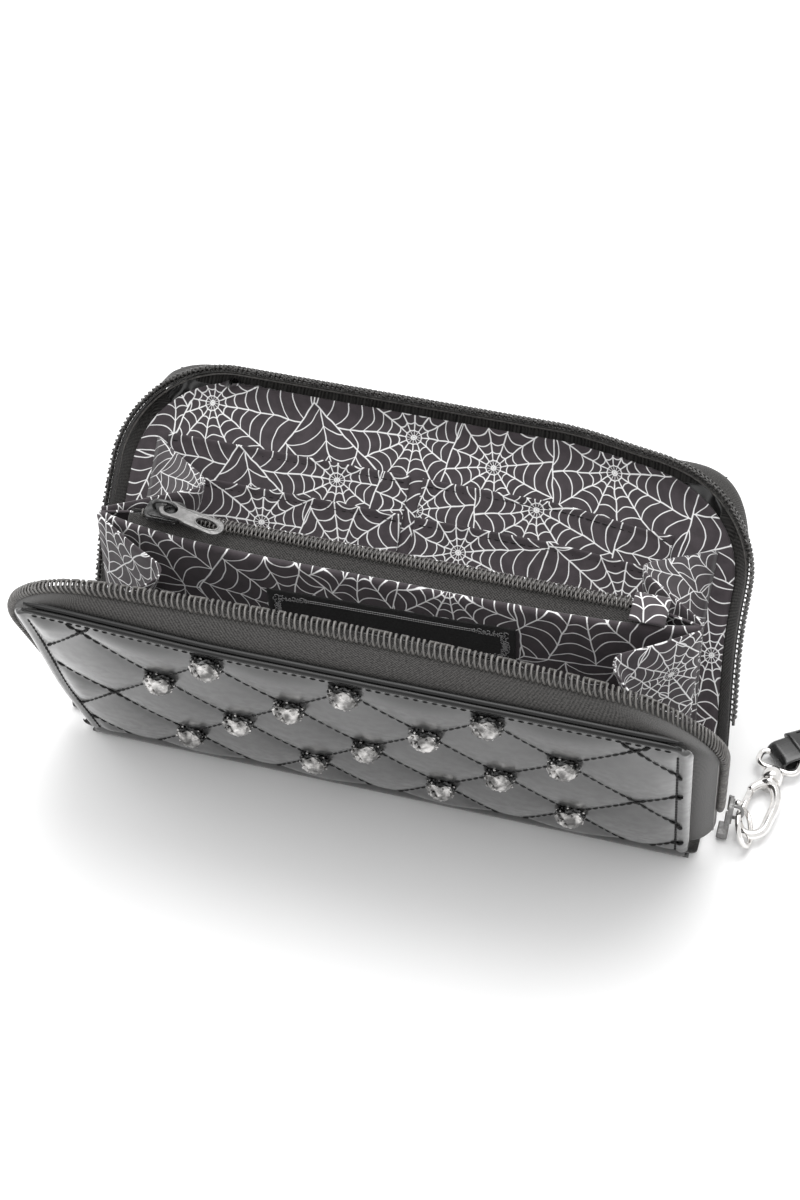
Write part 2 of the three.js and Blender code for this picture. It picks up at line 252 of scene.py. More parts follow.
def twill(name, dark, light):
    """Woven zip tape: diagonal ribs over a fine speckle of threads."""
    g = Graph(name, roughness=0.85, sheen=0.25, specular=0.25)
    parts = g.parts(g.flat)
    diagonal = g.math("ADD", parts["X"], g.math("MULTIPLY", parts["Y"], 1.1))
    ribs = g.math("SINE", g.math("MULTIPLY", diagonal, 2 * math.pi / TWILL_RIB))
    other = g.math("SUBTRACT", parts["X"], parts["Y"])
    cross = g.math("SINE", g.math("MULTIPLY", other, 2 * math.pi / TWILL_RIB))
    threads = g.noise(1.7, 3, roughness=0.7)
    knots = g.math("MULTIPLY", g.math("ADD", ribs, g.math("MULTIPLY", cross, 0.7)), 0.1)
    g.colour(g.mix(g.ramp(g.math("ADD", knots, threads), 0.28, 0.74), dark, light))
    normal = g.bump(ribs, 0.05, 0.6)
    g.bump(threads, 0.09, 0.6, normal)
    return g.material


def metal(name, dark, light, roughness, scratch):
    g = Graph(name, roughness=roughness, metallic=1.0)
    stain = g.ramp(g.noise(0.35, 4), 0.35, 0.7)
    g.colour(g.mix(stain, dark, light))
    g.rough(g.patches(1.2, roughness * 0.7, roughness * 1.5))
    g.bump(g.noise(1.5, 3), scratch, 0.4)
    return g.material


def thread_material(name, colour):
    g = Graph(name, roughness=0.6, specular=0.25)
    twist = g.math("SINE", g.math("MULTIPLY", g.parts(g.flat)["X"], 9.0))
    g.colour(g.mix(g.ramp(twist, -1, 1), colour, grey(colour[1] * 1.8)))
    g.bump(twist, 0.04, 0.8)
    return g.material


WEB_SIZE = 37.0
WEB_SPOKES = 12
WEB_LINE = 0.19
WEB_WOBBLE = 2.5
RING_SAG = 0.16
RING_POWER = 0.6  # rings stand closer together near a hub
RING_COUNT = 1.15


def web_threads(g):
    """1 on the printed threads: spokes, sagging rings and outer threads of a field of webs."""
    shift = g.vector("SUBTRACT", g.noise(0.09, output="Color"), (0.5, 0.5, 0.5))
    where = g.scaled(g.vector("ADD", g.flat, g.scaled(shift, WEB_WOBBLE)), 1 / WEB_SIZE)
    voronoi = {"Vector": where, "Scale": 1.0, "Randomness": 0.85}
    web = g.node("ShaderNodeTexVoronoi", voronoi, voronoi_dimensions="2D", feature="F1")
    edge = g.node("ShaderNodeTexVoronoi", voronoi, voronoi_dimensions="2D", feature="DISTANCE_TO_EDGE")
    parts = g.parts(g.vector("SUBTRACT", where, web.outputs["Position"]))
    flat_away = g.node("ShaderNodeCombineXYZ", {"X": parts["X"], "Y": parts["Y"]}).outputs["Vector"]
    radius = g.math("MULTIPLY", g.length(flat_away), WEB_SIZE)
    turn = g.math("MULTIPLY", g.math("ARCTAN2", parts["Y"], parts["X"]), WEB_SPOKES / (2 * math.pi))
    spin = g.parts(web.outputs["Color"])["X"]
    sector = g.math("SUBTRACT", g.math("FRACT", g.math("ADD", g.math("ADD", turn, spin), 40.0)), 0.5)
    from_spoke = g.math("SUBTRACT", 0.5, g.math("ABSOLUTE", sector))
    spoke = g.math("MULTIPLY", g.math("MULTIPLY", from_spoke, radius), 2 * math.pi / WEB_SPOKES)
    fine = g.math("MAXIMUM", 0.35, g.math("MINIMUM", 1.0, g.math("MULTIPLY", radius, 0.25)))
    spoke = g.math("DIVIDE", spoke, fine)
    sag = g.math("SUBTRACT", 1.0, g.math("MULTIPLY", g.math("MULTIPLY", sector, sector), 4.0))
    reach = g.math("MULTIPLY", radius, g.math("ADD", 1.0, g.math("MULTIPLY", sag, RING_SAG)))
    steps = g.math("MULTIPLY", g.math("POWER", reach, RING_POWER), RING_COUNT)
    off = g.math("SUBTRACT", 0.5, g.math("ABSOLUTE", g.math("SUBTRACT", g.math("FRACT", steps), 0.5)))
    slope = g.math("POWER", g.math("ADD", reach, 0.05), RING_POWER - 1)
    ring = g.math("DIVIDE", off, g.math("MULTIPLY", slope, RING_POWER * RING_COUNT))
    border = g.math("MULTIPLY", edge.outputs["Distance"], WEB_SIZE)
    nearest = g.math("MINIMUM", g.math("MINIMUM", spoke, ring), border)
    return g.ramp(nearest, WEB_LINE - 0.08, WEB_LINE + 0.1, 1.0, 0.0)


def print_material(name, cloth, threads):
    """Charcoal lining cloth with the pale web print."""
    g = Graph(name, roughness=0.75, sheen=0.15, specular=0.3)
    worn = g.patches(0.25)
    base = g.mix(worn, cloth, tuple(c * 1.35 for c in cloth))
    g.colour(g.mix(web_threads(g), base, threads))
    weave = g.noise(2.4)
    normal = g.bump(weave, 0.06, 0.5)
    g.bump(g.noise(0.12), 0.6, 0.25, normal)
    return g.material


def cardboard(name):
    g = Graph(name, roughness=0.95, specular=0.2)
    g.colour(g.mix(g.noise(0.8, 4), (0.16, 0.13, 0.1), (0.24, 0.2, 0.16)))
    g.bump(g.noise(1.5, 3), 0.1)
    return g.material


def nylon(name, dark, light):
    g = Graph(name, roughness=0.3, specular=0.7)
    g.colour(g.mix(g.patches(0.6), grey(dark, 0.05), grey(light, 0.06)))
    g.bump(g.noise(2.5), 0.03, 0.5)
    return g.material


def label_cloth(name):
    g = Graph(name, roughness=0.7, sheen=0.1, specular=0.3)
    parts = g.parts(g.flat)
    weave = g.math("SINE", g.math("MULTIPLY", parts["Y"], 2 * math.pi / 0.5))
    g.colour(g.mix(g.patches(1.5), grey(0.006), grey(0.016)))
    g.bump(weave, 0.04, 0.5)
    return g.material


def make_materials():
    return {
        "vinyl": leather("vinyl", grey(0.022), grey(0.032), 0.33, 0.9, 0.006),
        "piping": leather("piping", grey(0.004), grey(0.008), 0.25, 0.12, 0.006, 0.3),
        "board": cardboard("board"),
        "print_lining": print_material("print_lining", (0.042, 0.035, 0.039), grey(0.8)),
        "zipper_tape": twill("zipper_tape", grey(0.008, 0.06), grey(0.06, 0.04)),
        "zipper_coil": nylon("zipper_coil", 0.05, 0.12),
        # the back zip's coil: the same nylon as the front's, made darker as painted shade
        "coil_dark": nylon("coil_dark", 0.02, 0.05),
        "stud_metal": metal("stud_metal", grey(0.12, 0.02), grey(0.62, 0.02), 0.18, 0.12),
        # the stud's collar: the crown's metal made darker, as painted shade on the wall under the crown
        "stud_collar_painted_shade": metal("stud_collar_painted_shade", grey(0.03), grey(0.16), 0.3, 0.08),
        "satin_metal": metal("satin_metal", grey(0.22, 0.01), grey(0.27, 0.01), 0.5, 0.003),
        "black_metal": metal("black_metal", grey(0.06), grey(0.14), 0.3, 0.02),
        "chrome": metal("chrome", grey(0.72, 0.02), grey(0.85, 0.02), 0.08, 0.01),
        "label_cloth": label_cloth("label_cloth"),
        "label_thread": thread_material("label_thread", grey(0.2)),
        "strap_vinyl": leather("strap_vinyl", grey(0.006), grey(0.013), 0.25, 0.5, 0.012),
        "thread": thread_material("thread", grey(0.004)),
    }


# ---------- mesh helpers ----------

class Shape:
    """Vertices, faces, own coordinates and material numbers gathered for one piece."""

    def __init__(self):
        self.verts, self.faces, self.flat, self.numbers = [], [], [], []

    def add(self, verts, faces, flat=None, material=0):
        offset = len(self.verts)
        verts = [tuple(v) for v in verts]
        self.verts += verts
        self.faces += [tuple(offset + i for i in face) for face in faces]
        self.flat += [tuple(f) for f in flat] if flat is not None else verts
        self.numbers += [material] * len(faces)
        return self


def mesh_piece(name, shape, materials, smooth=True):
    """A mesh object from a Shape in millimetres. Each vertex keeps its own coordinates as `flat`."""
    mesh = bpy.data.meshes.new(name)
    mesh.from_pydata([tuple(c * MM for c in v) for v in shape.verts], [], shape.faces)
    attribute = mesh.attributes.new("flat", "FLOAT_VECTOR", "POINT")
    flat = np.zeros((len(shape.verts), 3), np.float32)
    for width in {len(f) for f in shape.flat}:
        rows = [i for i, f in enumerate(shape.flat) if len(f) == width]
        flat[rows, :width] = np.array([shape.flat[i] for i in rows])
    attribute.data.foreach_set("vector", flat.ravel())
    for slot_material in materials if isinstance(materials, (list, tuple)) else [materials]:
        mesh.materials.append(MATERIALS[slot_material])
    mesh.polygons.foreach_set("material_index", shape.numbers)
    mesh.polygons.foreach_set("use_smooth", [smooth] * len(mesh.polygons))
    mesh.update()
    piece = bpy.data.objects.new(name, mesh)
    bpy.context.scene.collection.objects.link(piece)
    return piece


def grid_faces(rows, columns, wrap=False, flip=False):
    """Quads of a grid stored row by row; wrap closes each row on itself, flip turns the faces over."""
    faces = []
    for r in range(rows - 1):
        for c in range(columns if wrap else columns - 1):
            d = (c + 1) % columns
            faces.append((r * columns + c, r * columns + d, (r + 1) * columns + d, (r + 1) * columns + c))
    return [face[::-1] for face in faces] if flip else faces


def surface(rows, columns, place, flip=False):
    """A sheet over a grid of row and column values; place(row, column) gives a vertex and its flat."""
    verts, flat = zip(*[place(r, c) for r in rows for c in columns])
    return Shape().add(verts, grid_faces(len(rows), len(columns), flip=flip), flat)


def modifier(piece, kind, **settings):
    made = piece.modifiers.new(kind.lower(), kind)
    for key, value in settings.items():
        setattr(made, key, value)
    return made


def thicken(piece, thickness, offset=0.0):
    modifier(piece, "SOLIDIFY", thickness=thickness * MM, offset=offset, use_even_offset=True)


def soften(piece):
    modifier(piece, "SUBSURF", levels=1, render_levels=1)


def bevel(piece, width):
    modifier(piece, "BEVEL", width=width * MM, segments=3, limit_method="ANGLE",
             angle_limit=math.radians(35), harden_normals=False)


def around(radius, turn, z=0.0):
    """A point on a circle about Z."""
    return np.array((radius * math.cos(turn), radius * math.sin(turn), z))


def distances(path):
    """Distance along a path at each of its points."""
    return np.concatenate([[0], np.cumsum(np.linalg.norm(np.diff(path, axis=0), axis=1))])


def sample(values, along, at):
    """Rows of values, known at the distances along, read at other distances."""
    return np.stack([np.interp(at, along, column) for column in values.T], -1)


def frames_along(path, closed=False):
    """Tangents and two cross directions carried along a path without twist."""
    path = np.asarray(path, float)
    if closed:
        tangents = np.roll(path, -1, 0) - np.roll(path, 1, 0)
    else:
        tangents = np.gradient(path, axis=0)
    tangents /= np.linalg.norm(tangents, axis=1)[:, None]
    first = np.cross(tangents[0], (0.0, 0.0, 1.0))
    if np.linalg.norm(first) < 0.1:
        first = np.cross(tangents[0], (0.0, 1.0, 0.0))
    side = first / np.linalg.norm(first)
    sides = []
    for tangent in tangents:
        side = side - tangent * side.dot(tangent)
        side /= np.linalg.norm(side)
        sides.append(side)
    sides = np.array(sides)
    return tangents, sides, np.cross(tangents, sides)


def tube(path, radius, sides=8, closed=False):
    """A round tube; radius is one number or one for each point. Returns vertices, faces and flat."""
    path = np.asarray(path, float)
    radii = np.broadcast_to(np.asarray(radius, float), (len(path),))
    _, across, up = frames_along(path, closed)
    turns = np.arange(sides) * 2 * math.pi / sides
    ring = np.cos(turns)[None, :, None] * across[:, None, :] + np.sin(turns)[None, :, None] * up[:, None, :]
    verts = (path[:, None, :] + radii[:, None, None] * ring).reshape(-1, 3)
    along = distances(path)
    flat = [(along[i], float(radii[i] * turn), 0) for i in range(len(path)) for turn in turns]
    faces = grid_faces(len(path), sides, wrap=True)
    if closed:
        last = (len(path) - 1) * sides
        faces += [(last + c, last + (c + 1) % sides, (c + 1) % sides, c) for c in range(sides)]
    else:
        faces.append(tuple(range(sides))[::-1])
        faces.append(tuple(range((len(path) - 1) * sides, len(path) * sides)))
    return verts, faces, flat


def stitches(shape, lines, length, pitch, radius):
    """Short tapered stitches along lines of points, each line a list of (points, outward normals)."""
    for points, outward in lines:
        points, outward = np.asarray(points, float), np.asarray(outward, float)
        along = distances(points)
        count = max(1, int(along[-1] / pitch))
        spare = (along[-1] - count * pitch) / 2
        for n in range(count):
            middle = spare + (n + 0.5) * pitch
            at = middle + np.linspace(-0.5, 0.5, 5) * length
            centre, lift = sample(points, along, at), sample(outward, along, at)
            arc = np.array([0.0, 0.5, 0.7, 0.5, 0.0]) * radius
            sizes = np.array([0.6, 0.95, 1.0, 0.95, 0.6]) * radius
            shape.add(*tube(centre + lift * arc[:, None], sizes, 6))


def spline(points, count):
    """A smooth open curve through given points, sampled evenly by point number."""
    points = np.asarray(points, float)
    padded = np.vstack([2 * points[0] - points[1], points, 2 * points[-1] - points[-2]])
    out = []
    for s in np.linspace(0, len(points) - 1, count):
        i = min(int(s), len(points) - 2)
        t = s - i
        a, b, c, d = padded[i:i + 4]
        out.append(0.5 * (2 * b + (c - a) * t + (2 * a - 5 * b + 4 * c - d) * t * t
                          + (3 * b - a - 3 * c + d) * t ** 3))
    return np.array(out)


def evenly(path, step):
    """The path resampled at equal steps along its length."""
    path = np.asarray(path, float)
    along = distances(path)
    return sample(path, along, np.linspace(0, along[-1], max(2, round(along[-1] / step) + 1)))


def rumple(point, size, seed=0):
    """Smooth noise between -1 and 1 over cloth, with features about `size` mm wide."""
    return noise.noise(Vector((point[0] / size + seed, point[1] / size - seed, point[-1] / size + 2 * seed)))


# ---------- the covers' own coordinates ----------

RING = {"width": 202, "height": 101, "radius": 36}
RING_START = 3
PANEL_HALF = 93
PANEL_TOP = 99
PANEL_BOTTOM = 2.5
PANEL_CORNER = {"front": 3.2, "back": 18}
COIL_PITCH = 1.5
COIL_START = {"slider": 22, "free": 4}


class Cover:
    """Places (u, v, w) of a cover: u along the wallet, v up from the hinge, w in from the outer face."""

    def __init__(self, side):
        hinge = joint(f"{side}_cover_hinge")
        self.side, self.body = side, f"{side}_cover"
        self.sign = -1 if side == "front" else 1
        self.lean = math.radians(-hinge["range_deg"][0])
        self.hinge = np.array(hinge["pos_m"]) / MM
        self.inward = np.array((0, -self.sign * math.cos(self.lean), math.sin(self.lean)))
        self.upward = np.array((0, self.sign * math.sin(self.lean), math.cos(self.lean)))

    def point(self, u, v, w):
        u, v, w = self.settle(u, v, w)
        return self.hinge + np.array((u, 0, 0)) + v * self.upward + w * self.inward

    def settle(self, u, v, w):
        """How soft covers give: the front's zip bows up in the middle and its panel stands back at the
        left; the back cover has swung to the left and its right corner droops."""
        free = float(smoothstep((w - 3) / 7))
        if self.side == "front":
            high = float(smoothstep((v - 70) / 25))
            left = float(smoothstep((-u - 25) / 65) * smoothstep((v - 30) / 70))
            w = w + 3.6 * free * high * max(0.0, 1 - (u / 92) ** 2) + 1.6 * (1 - free) * left
            u = u + (2.8 * (1 - free) - 2.0 * free) * left
        else:
            v = v - 4 * float(smoothstep((u - 35) / 40) * smoothstep((v - 40) / 50))
            u = u - 4.5 * float(smoothstep(v / 55))
        return u, v, w

    def spots(self, rows):
        return [self.point(*row) for row in rows]


ARCH_POINTS = {"side": 26, "corner": 22, "half_top": 32}


def arch(outline, start, grow=0.0):
    """(u, v) points and outward normals up the left side, round both corners and down the right."""
    half, height = outline["width"] / 2 + grow, outline["height"] + grow
    radius = outline["radius"] + grow
    centre = height - radius
    points, normals = [], []
    for v in np.linspace(start, centre, ARCH_POINTS["side"], endpoint=False):
        points.append((-half, v))
        normals.append((-1, 0))
    for turn in np.linspace(math.pi, math.pi / 2, ARCH_POINTS["corner"], endpoint=False):
        points.append((radius - half + radius * math.cos(turn), centre + radius * math.sin(turn)))
        normals.append((math.cos(turn), math.sin(turn)))
    for u in np.linspace(radius - half, 0, ARCH_POINTS["half_top"], endpoint=False):
        points.append((u, height))
        normals.append((0, 1))
    points.append((0, height))
    normals.append((0, 1))
    mirrored = [(-u, v) for u, v in points[-2::-1]]
    turned = [(-a, b) for a, b in normals[-2::-1]]
    return np.array(points + mirrored), np.array(normals + turned)


# ---------- zip: tape and coil ----------

TAPE_BASE = {"width": 184, "height": 98.8, "radius": 12}
TAPE_EDGE = {"width": RING["width"] - 4.6, "height": RING["height"] - 2.3, "radius": RING["radius"] - 2.3}
# across the tape: how far it has gone from its sewn base to its free edge, its bulge and its depth
TAPE_SECTION = [
    (0, -5, 3.5), (0, -1, 3.5), (0.05, 0.3, 3.6), (0.18, 0.9, 4.2), (0.36, 1.2, 5.1), (0.55, 1.1, 6.2),
    (0.74, 0.8, 7.4), (0.9, 0.4, 8.7), (0.98, 0.1, 10.0), (1.0, 0, 11.0),
]
TAPE_SLACK = {"front": 0.0, "back": 0.9}  # the extra bulge at the right corner
COIL_DEPTH = 10.05
COIL_INSET = 1.15
COIL_SHAPE = {"front": (1.85, 0.95, 0.42), "back": (1.8, 0.75, 0.35)}  # half across, half deep, wire


def zip_tape(cover):
    base, base_out = arch(TAPE_BASE, RING_START)
    edge, edge_out = arch(TAPE_EDGE, RING_START)
    along = distances(edge)
    verts, flat = [], []
    corner_turn = np.sin(2 * np.arctan2(np.abs(edge_out[:, 0]), np.abs(edge_out[:, 1])))
    back_left = (cover.side == "back") * (edge[:, 0] < 0) * corner_turn
    slack = TAPE_SLACK[cover.side] * corner_turn * (edge[:, 0] > 0)
    flatter = 1 - 0.9 * back_left
    for share, bulge, depth in TAPE_SECTION:
        line = base + (edge - base) * share
        out = base_out + (edge_out - base_out) * share
        line = line + out * (bulge * flatter + slack * math.sin(math.pi * share) ** 0.7)[:, None]
        verts += [cover.point(u, v, depth) for u, v in line]
        flat += [(s, depth * 1.3 + share * 6, 0) for s in along]
    shape = Shape().add(verts, grid_faces(len(TAPE_SECTION), len(edge)), flat)
    piece = mesh_piece(f"{cover.side}_tape", shape, "zipper_tape")
    thicken(piece, 0.55)
    soften(piece)
    cord = Shape().add(*tube([cover.point(u, v, 8.3) for u, v in edge - edge_out * 0.45], 0.4, 6))
    welt = mesh_piece(f"{cover.side}_tape_edge_cord", cord, "zipper_coil")
    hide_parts(f"{cover.side}_zipper_tape")
    for made in (piece, welt):
        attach(made, cover.body)


def zip_coil(cover):
    """A nylon coil sewn round the tape's free edge, wound as one long helix."""
    line, out = arch(RING, RING_START, -COIL_INSET)
    starts = [COIL_START["free"], COIL_START["slider"]]
    keep = [i for i, (u, v) in enumerate(line) if v >= starts[int(u > 0)]]
    line, out = line[keep], out[keep]
    along = distances(line)
    turns = int(along[-1] / COIL_PITCH)
    per_turn = 14
    phase = np.arange(turns * per_turn + 1) * 2 * math.pi / per_turn
    # each turn runs straight down from its head, slants back under it and returns inside
    share = np.interp(phase % (2 * math.pi), [0, 1.5, 3.3, 2 * math.pi], [0, 0.06, 0.86, 1])
    at = (np.floor(phase / (2 * math.pi) + 1e-6) + share) * COIL_PITCH
    half_across, half_deep, wire = COIL_SHAPE[cover.side]
    across = np.sign(np.cos(phase)) * np.abs(np.cos(phase)) ** 0.8 * half_across
    rise = np.sign(np.sin(phase)) * np.abs(np.sin(phase)) ** 0.8 * half_deep
    spots = sample(line, along, at) + sample(out, along, at) * rise[:, None]
    path = [cover.point(u, v, COIL_DEPTH + a) for (u, v), a in zip(spots, across)]
    head = np.clip((np.cos(phase) - 0.45) / 0.55, 0, 1)
    shape = Shape().add(*tube(path, wire * (0.8 + 0.35 * head), 6))
    for a in (-0.75, 0.75) if cover.side == "back" else ():
        shape.add(*tube([cover.point(u, v, COIL_DEPTH + a) for u, v in line], half_deep * 0.55, 6))
    # the back cover's coil takes the darker copy of the nylon: painted shade
    finish = {"front": "zipper_coil", "back": "coil_dark"}[cover.side]
    piece = mesh_piece(f"{cover.side}_coil", shape, finish)
    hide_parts(f"{cover.side}_zipper_coil")
    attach(piece, cover.body)


# ---------- quilted panels ----------

QUILT = {"column": 38.0, "row": 23.5, "x": 2.0, "z": 93.0}
HEM = 4.0
TOP_STITCH = 1.2
PUFF = 2.2
LATTICE = 13


def lattice(u, v):
    a, b = (u - QUILT["x"]) / QUILT["column"], (v - QUILT["z"]) / (2 * QUILT["row"])
    return a + b, a - b


def puff(u, v):
    """Height of the padding between the stitched diamonds, the side hems and the top stitching."""
    s, t = lattice(u, v)
    cell = (abs(math.sin(math.pi * s)) * abs(math.sin(math.pi * t))) ** 0.5
    from_hem = PANEL_HALF - HEM - abs(u)
    if from_hem < 0:
        across = -from_hem / HEM
        return 0.75 * math.sin(math.pi * min(across, 1) ** 0.8) - 0.9 * max(0, across - 0.75) / 0.25
    from_top, from_bottom = max(0, PANEL_TOP - TOP_STITCH - v), v - PANEL_BOTTOM
    edges = min(1, from_hem / 5) * min(1, from_top / 4) * min(1, from_bottom / 4)
    return PUFF * cell * max(0.0, edges) ** 0.5


def panel_lines(step, low, high, origin, special):
    """Grid lines that run through the lattice's crossings, with the hems' own lines among them."""
    first = math.ceil((low - origin) / step)
    regular = [origin + k * step for k in range(first, int((high - origin) / step) + 1)]
    kept = [x for x in regular if all(abs(x - y) > step * 0.45 for y in special)]
    return sorted(kept + list(special))


def quilted_panel(cover):
    inner = PANEL_HALF - HEM
    hem = (inner, inner + 1.2, inner + 2.6, PANEL_HALF - 0.4, PANEL_HALF)
    hems = [sign * x for sign in (-1, 1) for x in hem]
    columns = panel_lines(QUILT["column"] / (2 * LATTICE), -PANEL_HALF, PANEL_HALF, QUILT["x"], hems)
    top = [PANEL_TOP - TOP_STITCH, PANEL_TOP - 0.5, PANEL_TOP]
    rows = panel_lines(QUILT["row"] / LATTICE, PANEL_BOTTOM, PANEL_TOP, QUILT["z"], [PANEL_BOTTOM, *top])
    corner = PANEL_CORNER[cover.side]

    def place(v, u):
        a, b = u, v
        over_u, over_v = abs(u) - (PANEL_HALF - corner), v - (PANEL_TOP - corner)
        if over_u > 0 and over_v > 0:
            scale = max(over_u, over_v) / math.hypot(over_u, over_v)
            a = math.copysign(PANEL_HALF - corner + over_u * scale, u)
            b = PANEL_TOP - corner + over_v * scale
        return cover.point(a, b, -puff(u, v)), (a, b, 0)

    shape = surface(rows, columns, place, flip=cover.sign > 0)
    piece = mesh_piece(f"{cover.side}_quilted_panel", shape, "vinyl")
    thicken(piece, 1.5, -1.0)
    soften(piece)
    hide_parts(f"{cover.side}_cover_panel")
    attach(piece, cover.body)
    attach(quilting_thread(cover), cover.body)


def quilting_thread(cover):
    """Black stitches: the diamonds, both side hems and the row under the top piping."""
    diamonds, hems = [], []
    reach = (PANEL_HALF - HEM + 0.4, PANEL_HALF - 1.6)  # at the left, at the right
    for direction in (-1, 1):
        for k in range(-8, 9):
            line = []
            for v in np.arange(PANEL_BOTTOM + 1, PANEL_TOP - 0.4, 0.8):
                u = QUILT["x"] + QUILT["column"] * (k - direction * (v - QUILT["z"]) / (2 * QUILT["row"]))
                if -reach[0] < u < reach[1]:
                    line.append((u, v, -puff(u, v) - 0.05))
            if len(line) > 4:
                diamonds.append(([cover.point(*p) for p in line], [-cover.inward] * len(line)))
    for sign in (-1, 1):
        line = [(sign * (PANEL_HALF - HEM), v, -0.05) for v in np.arange(PANEL_BOTTOM + 1, PANEL_TOP - 2, 2)]
        hems.append((cover.spots(line), [-cover.inward] * len(line)))
    line = [(u, PANEL_TOP - TOP_STITCH, -0.05) for u in np.arange(-PANEL_HALF + 5, PANEL_HALF - 4, 2)]
    top = [(cover.spots(line), [-cover.inward] * len(line))]
    shape = Shape()
    stitches(shape, diamonds, 3.3, 3.1, 0.42)
    stitches(shape, hems, 2.7, 2.6, 0.36)
    stitches(shape, top, 1.6, 2.5, 0.2)
    return mesh_piece(f"{cover.side}_quilting_thread", shape, "thread")


def piping(cover):
    """The double glossy welt along a cover's top edge."""
    shape = Shape()
    reach = PANEL_HALF - PANEL_CORNER[cover.side]
    us = np.linspace(-reach, reach, 120) * (1 if cover.side == "front" else 0.9)
    for height, depth, radius in ((PANEL_TOP + 0.15, 0.75, 0.85), (PANEL_TOP + 0.4, 2.3, 0.85)):
        nicks = [0.12 * rumple((u, depth, 3), 9) for u in us]
        path = [cover.point(u, height + nick, depth) for u, nick in zip(us, nicks)]
        ends = np.clip(np.minimum(us - us[0], us[-1] - us) / 5, 0.25, 1) ** 0.5
        shape.add(*tube(path, radius * ends, 10))
    piece = mesh_piece(f"{cover.side}_welt", shape, "piping")
    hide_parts(f"{cover.side}_piping")
    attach(piece, cover.body)


# ---------- studs ----------

def bead(shape, centre, size, material):
    """A small round bead, as a short tube that swells and closes."""
    profile = np.array([(-1, 0.2), (-0.7, 0.75), (0, 1), (0.7, 0.75), (1, 0.2)])
    path = centre + np.outer(profile[:, 0] * size, (0, 0, 1))
    shape.add(*tube(path, profile[:, 1] * size, 6), material=material)


def stud_shape():
    """A rough nugget: a beaded wall in painted shade (a darker copy of the crown's metal) under a bright
    hammered crown. It stands out along -Z.
    """
    shape = Shape()
    sides = 9
    chance = random.Random(3)
    levels = [(3.4, 0.0), (4.0, 0.4), (4.2, 1.2), (4.1, 2.0), (4.15, 2.4), (3.6, 3.5), (2.3, 4.5)]
    crown = 4
    verts = []
    for number, (radius, height) in enumerate(levels):
        for n in range(sides):
            turn = (n + 0.5 * (number % 2)) * 2 * math.pi / sides
            rough = 0.07 if number >= crown - 1 else 0.02
            reach = radius * (1 + 0.05 * math.sin(2 * turn + 0.6) + chance.uniform(-rough, rough))
            rise = height + (0.3 * (-1) ** n + chance.uniform(-0.15, 0.15) if number >= crown - 1 else 0)
            verts.append(around(reach, turn, -rise))
    verts.append((0.3, 0.2, -5.3))
    walls, caps = [tuple(range(sides))], []
    for r in range(len(levels) - 1):
        kept = walls if r < crown - 1 else caps
        for n in range(sides):
            a, b = r * sides + n, r * sides + (n + 1) % sides
            c, d = a + sides, b + sides
            kept += [(a, c, b), (b, c, d)] if r % 2 == 0 else [(a, d, b), (a, c, d)]
    tip, top = len(verts) - 1, (len(levels) - 1) * sides
    caps += [(top + (n + 1) % sides, top + n, tip) for n in range(sides)]
    # material 1 is the collar's painted shade; most of the wall beads take it too
    shape.add(verts, walls, material=1)
    shape.faces += caps
    shape.numbers += [0] * len(caps)
    for radius, height, size, count in ((4.1, 0.7, 0.42, 15), (4.15, 1.6, 0.45, 14)):
        for n in range(count):
            turn = (n + height) * 2 * math.pi / count
            size_here = size * chance.uniform(0.8, 1.15)
            bead(shape, around(radius, turn, -height), size_here, int(n % 3 > 0))
    for n in range(11):
        place = around(4.0, n * 2 * math.pi / 11, -2.7 - 0.2 * (-1) ** n)
        bead(shape, place, chance.uniform(0.3, 0.5), 0)
    for n in range(12):
        reach, turn = chance.uniform(0.8, 3.2), chance.uniform(0, 2 * math.pi)
        bead(shape, around(reach, turn, -5.3 + reach * 0.42), chance.uniform(0.3, 0.55), 0)
    return shape


def studs(cover):
    names = sorted((n for n in frame["nodes"] if n.startswith("stud_")), key=lambda n: int(n.split("_")[1]))
    model = stud_shape()
    for name in names:
        low, high = box(name)
        centre = (low + high) / 2
        height = (centre - cover.hinge) @ cover.upward
        shape = Shape()
        turn = RANDOM.uniform(0, 0.6)
        tilt = RANDOM.uniform(-0.06, 0.06)
        base = cover.point(centre[0], height, -0.1)
        spots = []
        for x, y, z in model.verts:
            a, b = x * math.cos(turn) - y * math.sin(turn), x * math.sin(turn) + y * math.cos(turn)
            spots.append(base + np.array((a, 0, 0)) + b * cover.upward + (z + tilt * a) * cover.inward)
        shape.verts, shape.faces, shape.numbers = spots, model.faces, model.numbers
        shape.flat = [tuple(s) for s in spots]
        piece = mesh_piece(f"{name}_crown", shape, ["stud_metal", "stud_collar_painted_shade"], smooth=False)
        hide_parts(name)
        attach(piece, cover.body)


# ---------- linings, boards and card slots ----------

def rounded_sheet(cover, half, bottom, height, radius, depth, rows=44, columns=90):
    """Grid over a rounded outline. depth(u, v, edge) gives the depth; edge is mm in from the outline."""
    straight = np.linspace(bottom, height - radius, rows - 14, endpoint=False)
    corner = [height - radius + radius * math.sin(a) for a in np.linspace(0, math.pi / 2, 14)]
    even = np.linspace(-1, 1, columns)

    def place(v, share):
        above = max(0.0, v - (height - radius))
        reach = half - radius + math.sqrt(max(0.0, radius ** 2 - above ** 2))
        u = reach * share
        return cover.point(u, v, depth(u, v, min(reach - abs(u), height - v))), (u, v * cover.sign, 0)

    return surface([*straight, *corner], np.sin(even * math.pi / 2) * 0.35 + even * 0.65, place)


LINING = {"half": 95, "bottom": 3.0, "height": 95.6, "radius": 31}


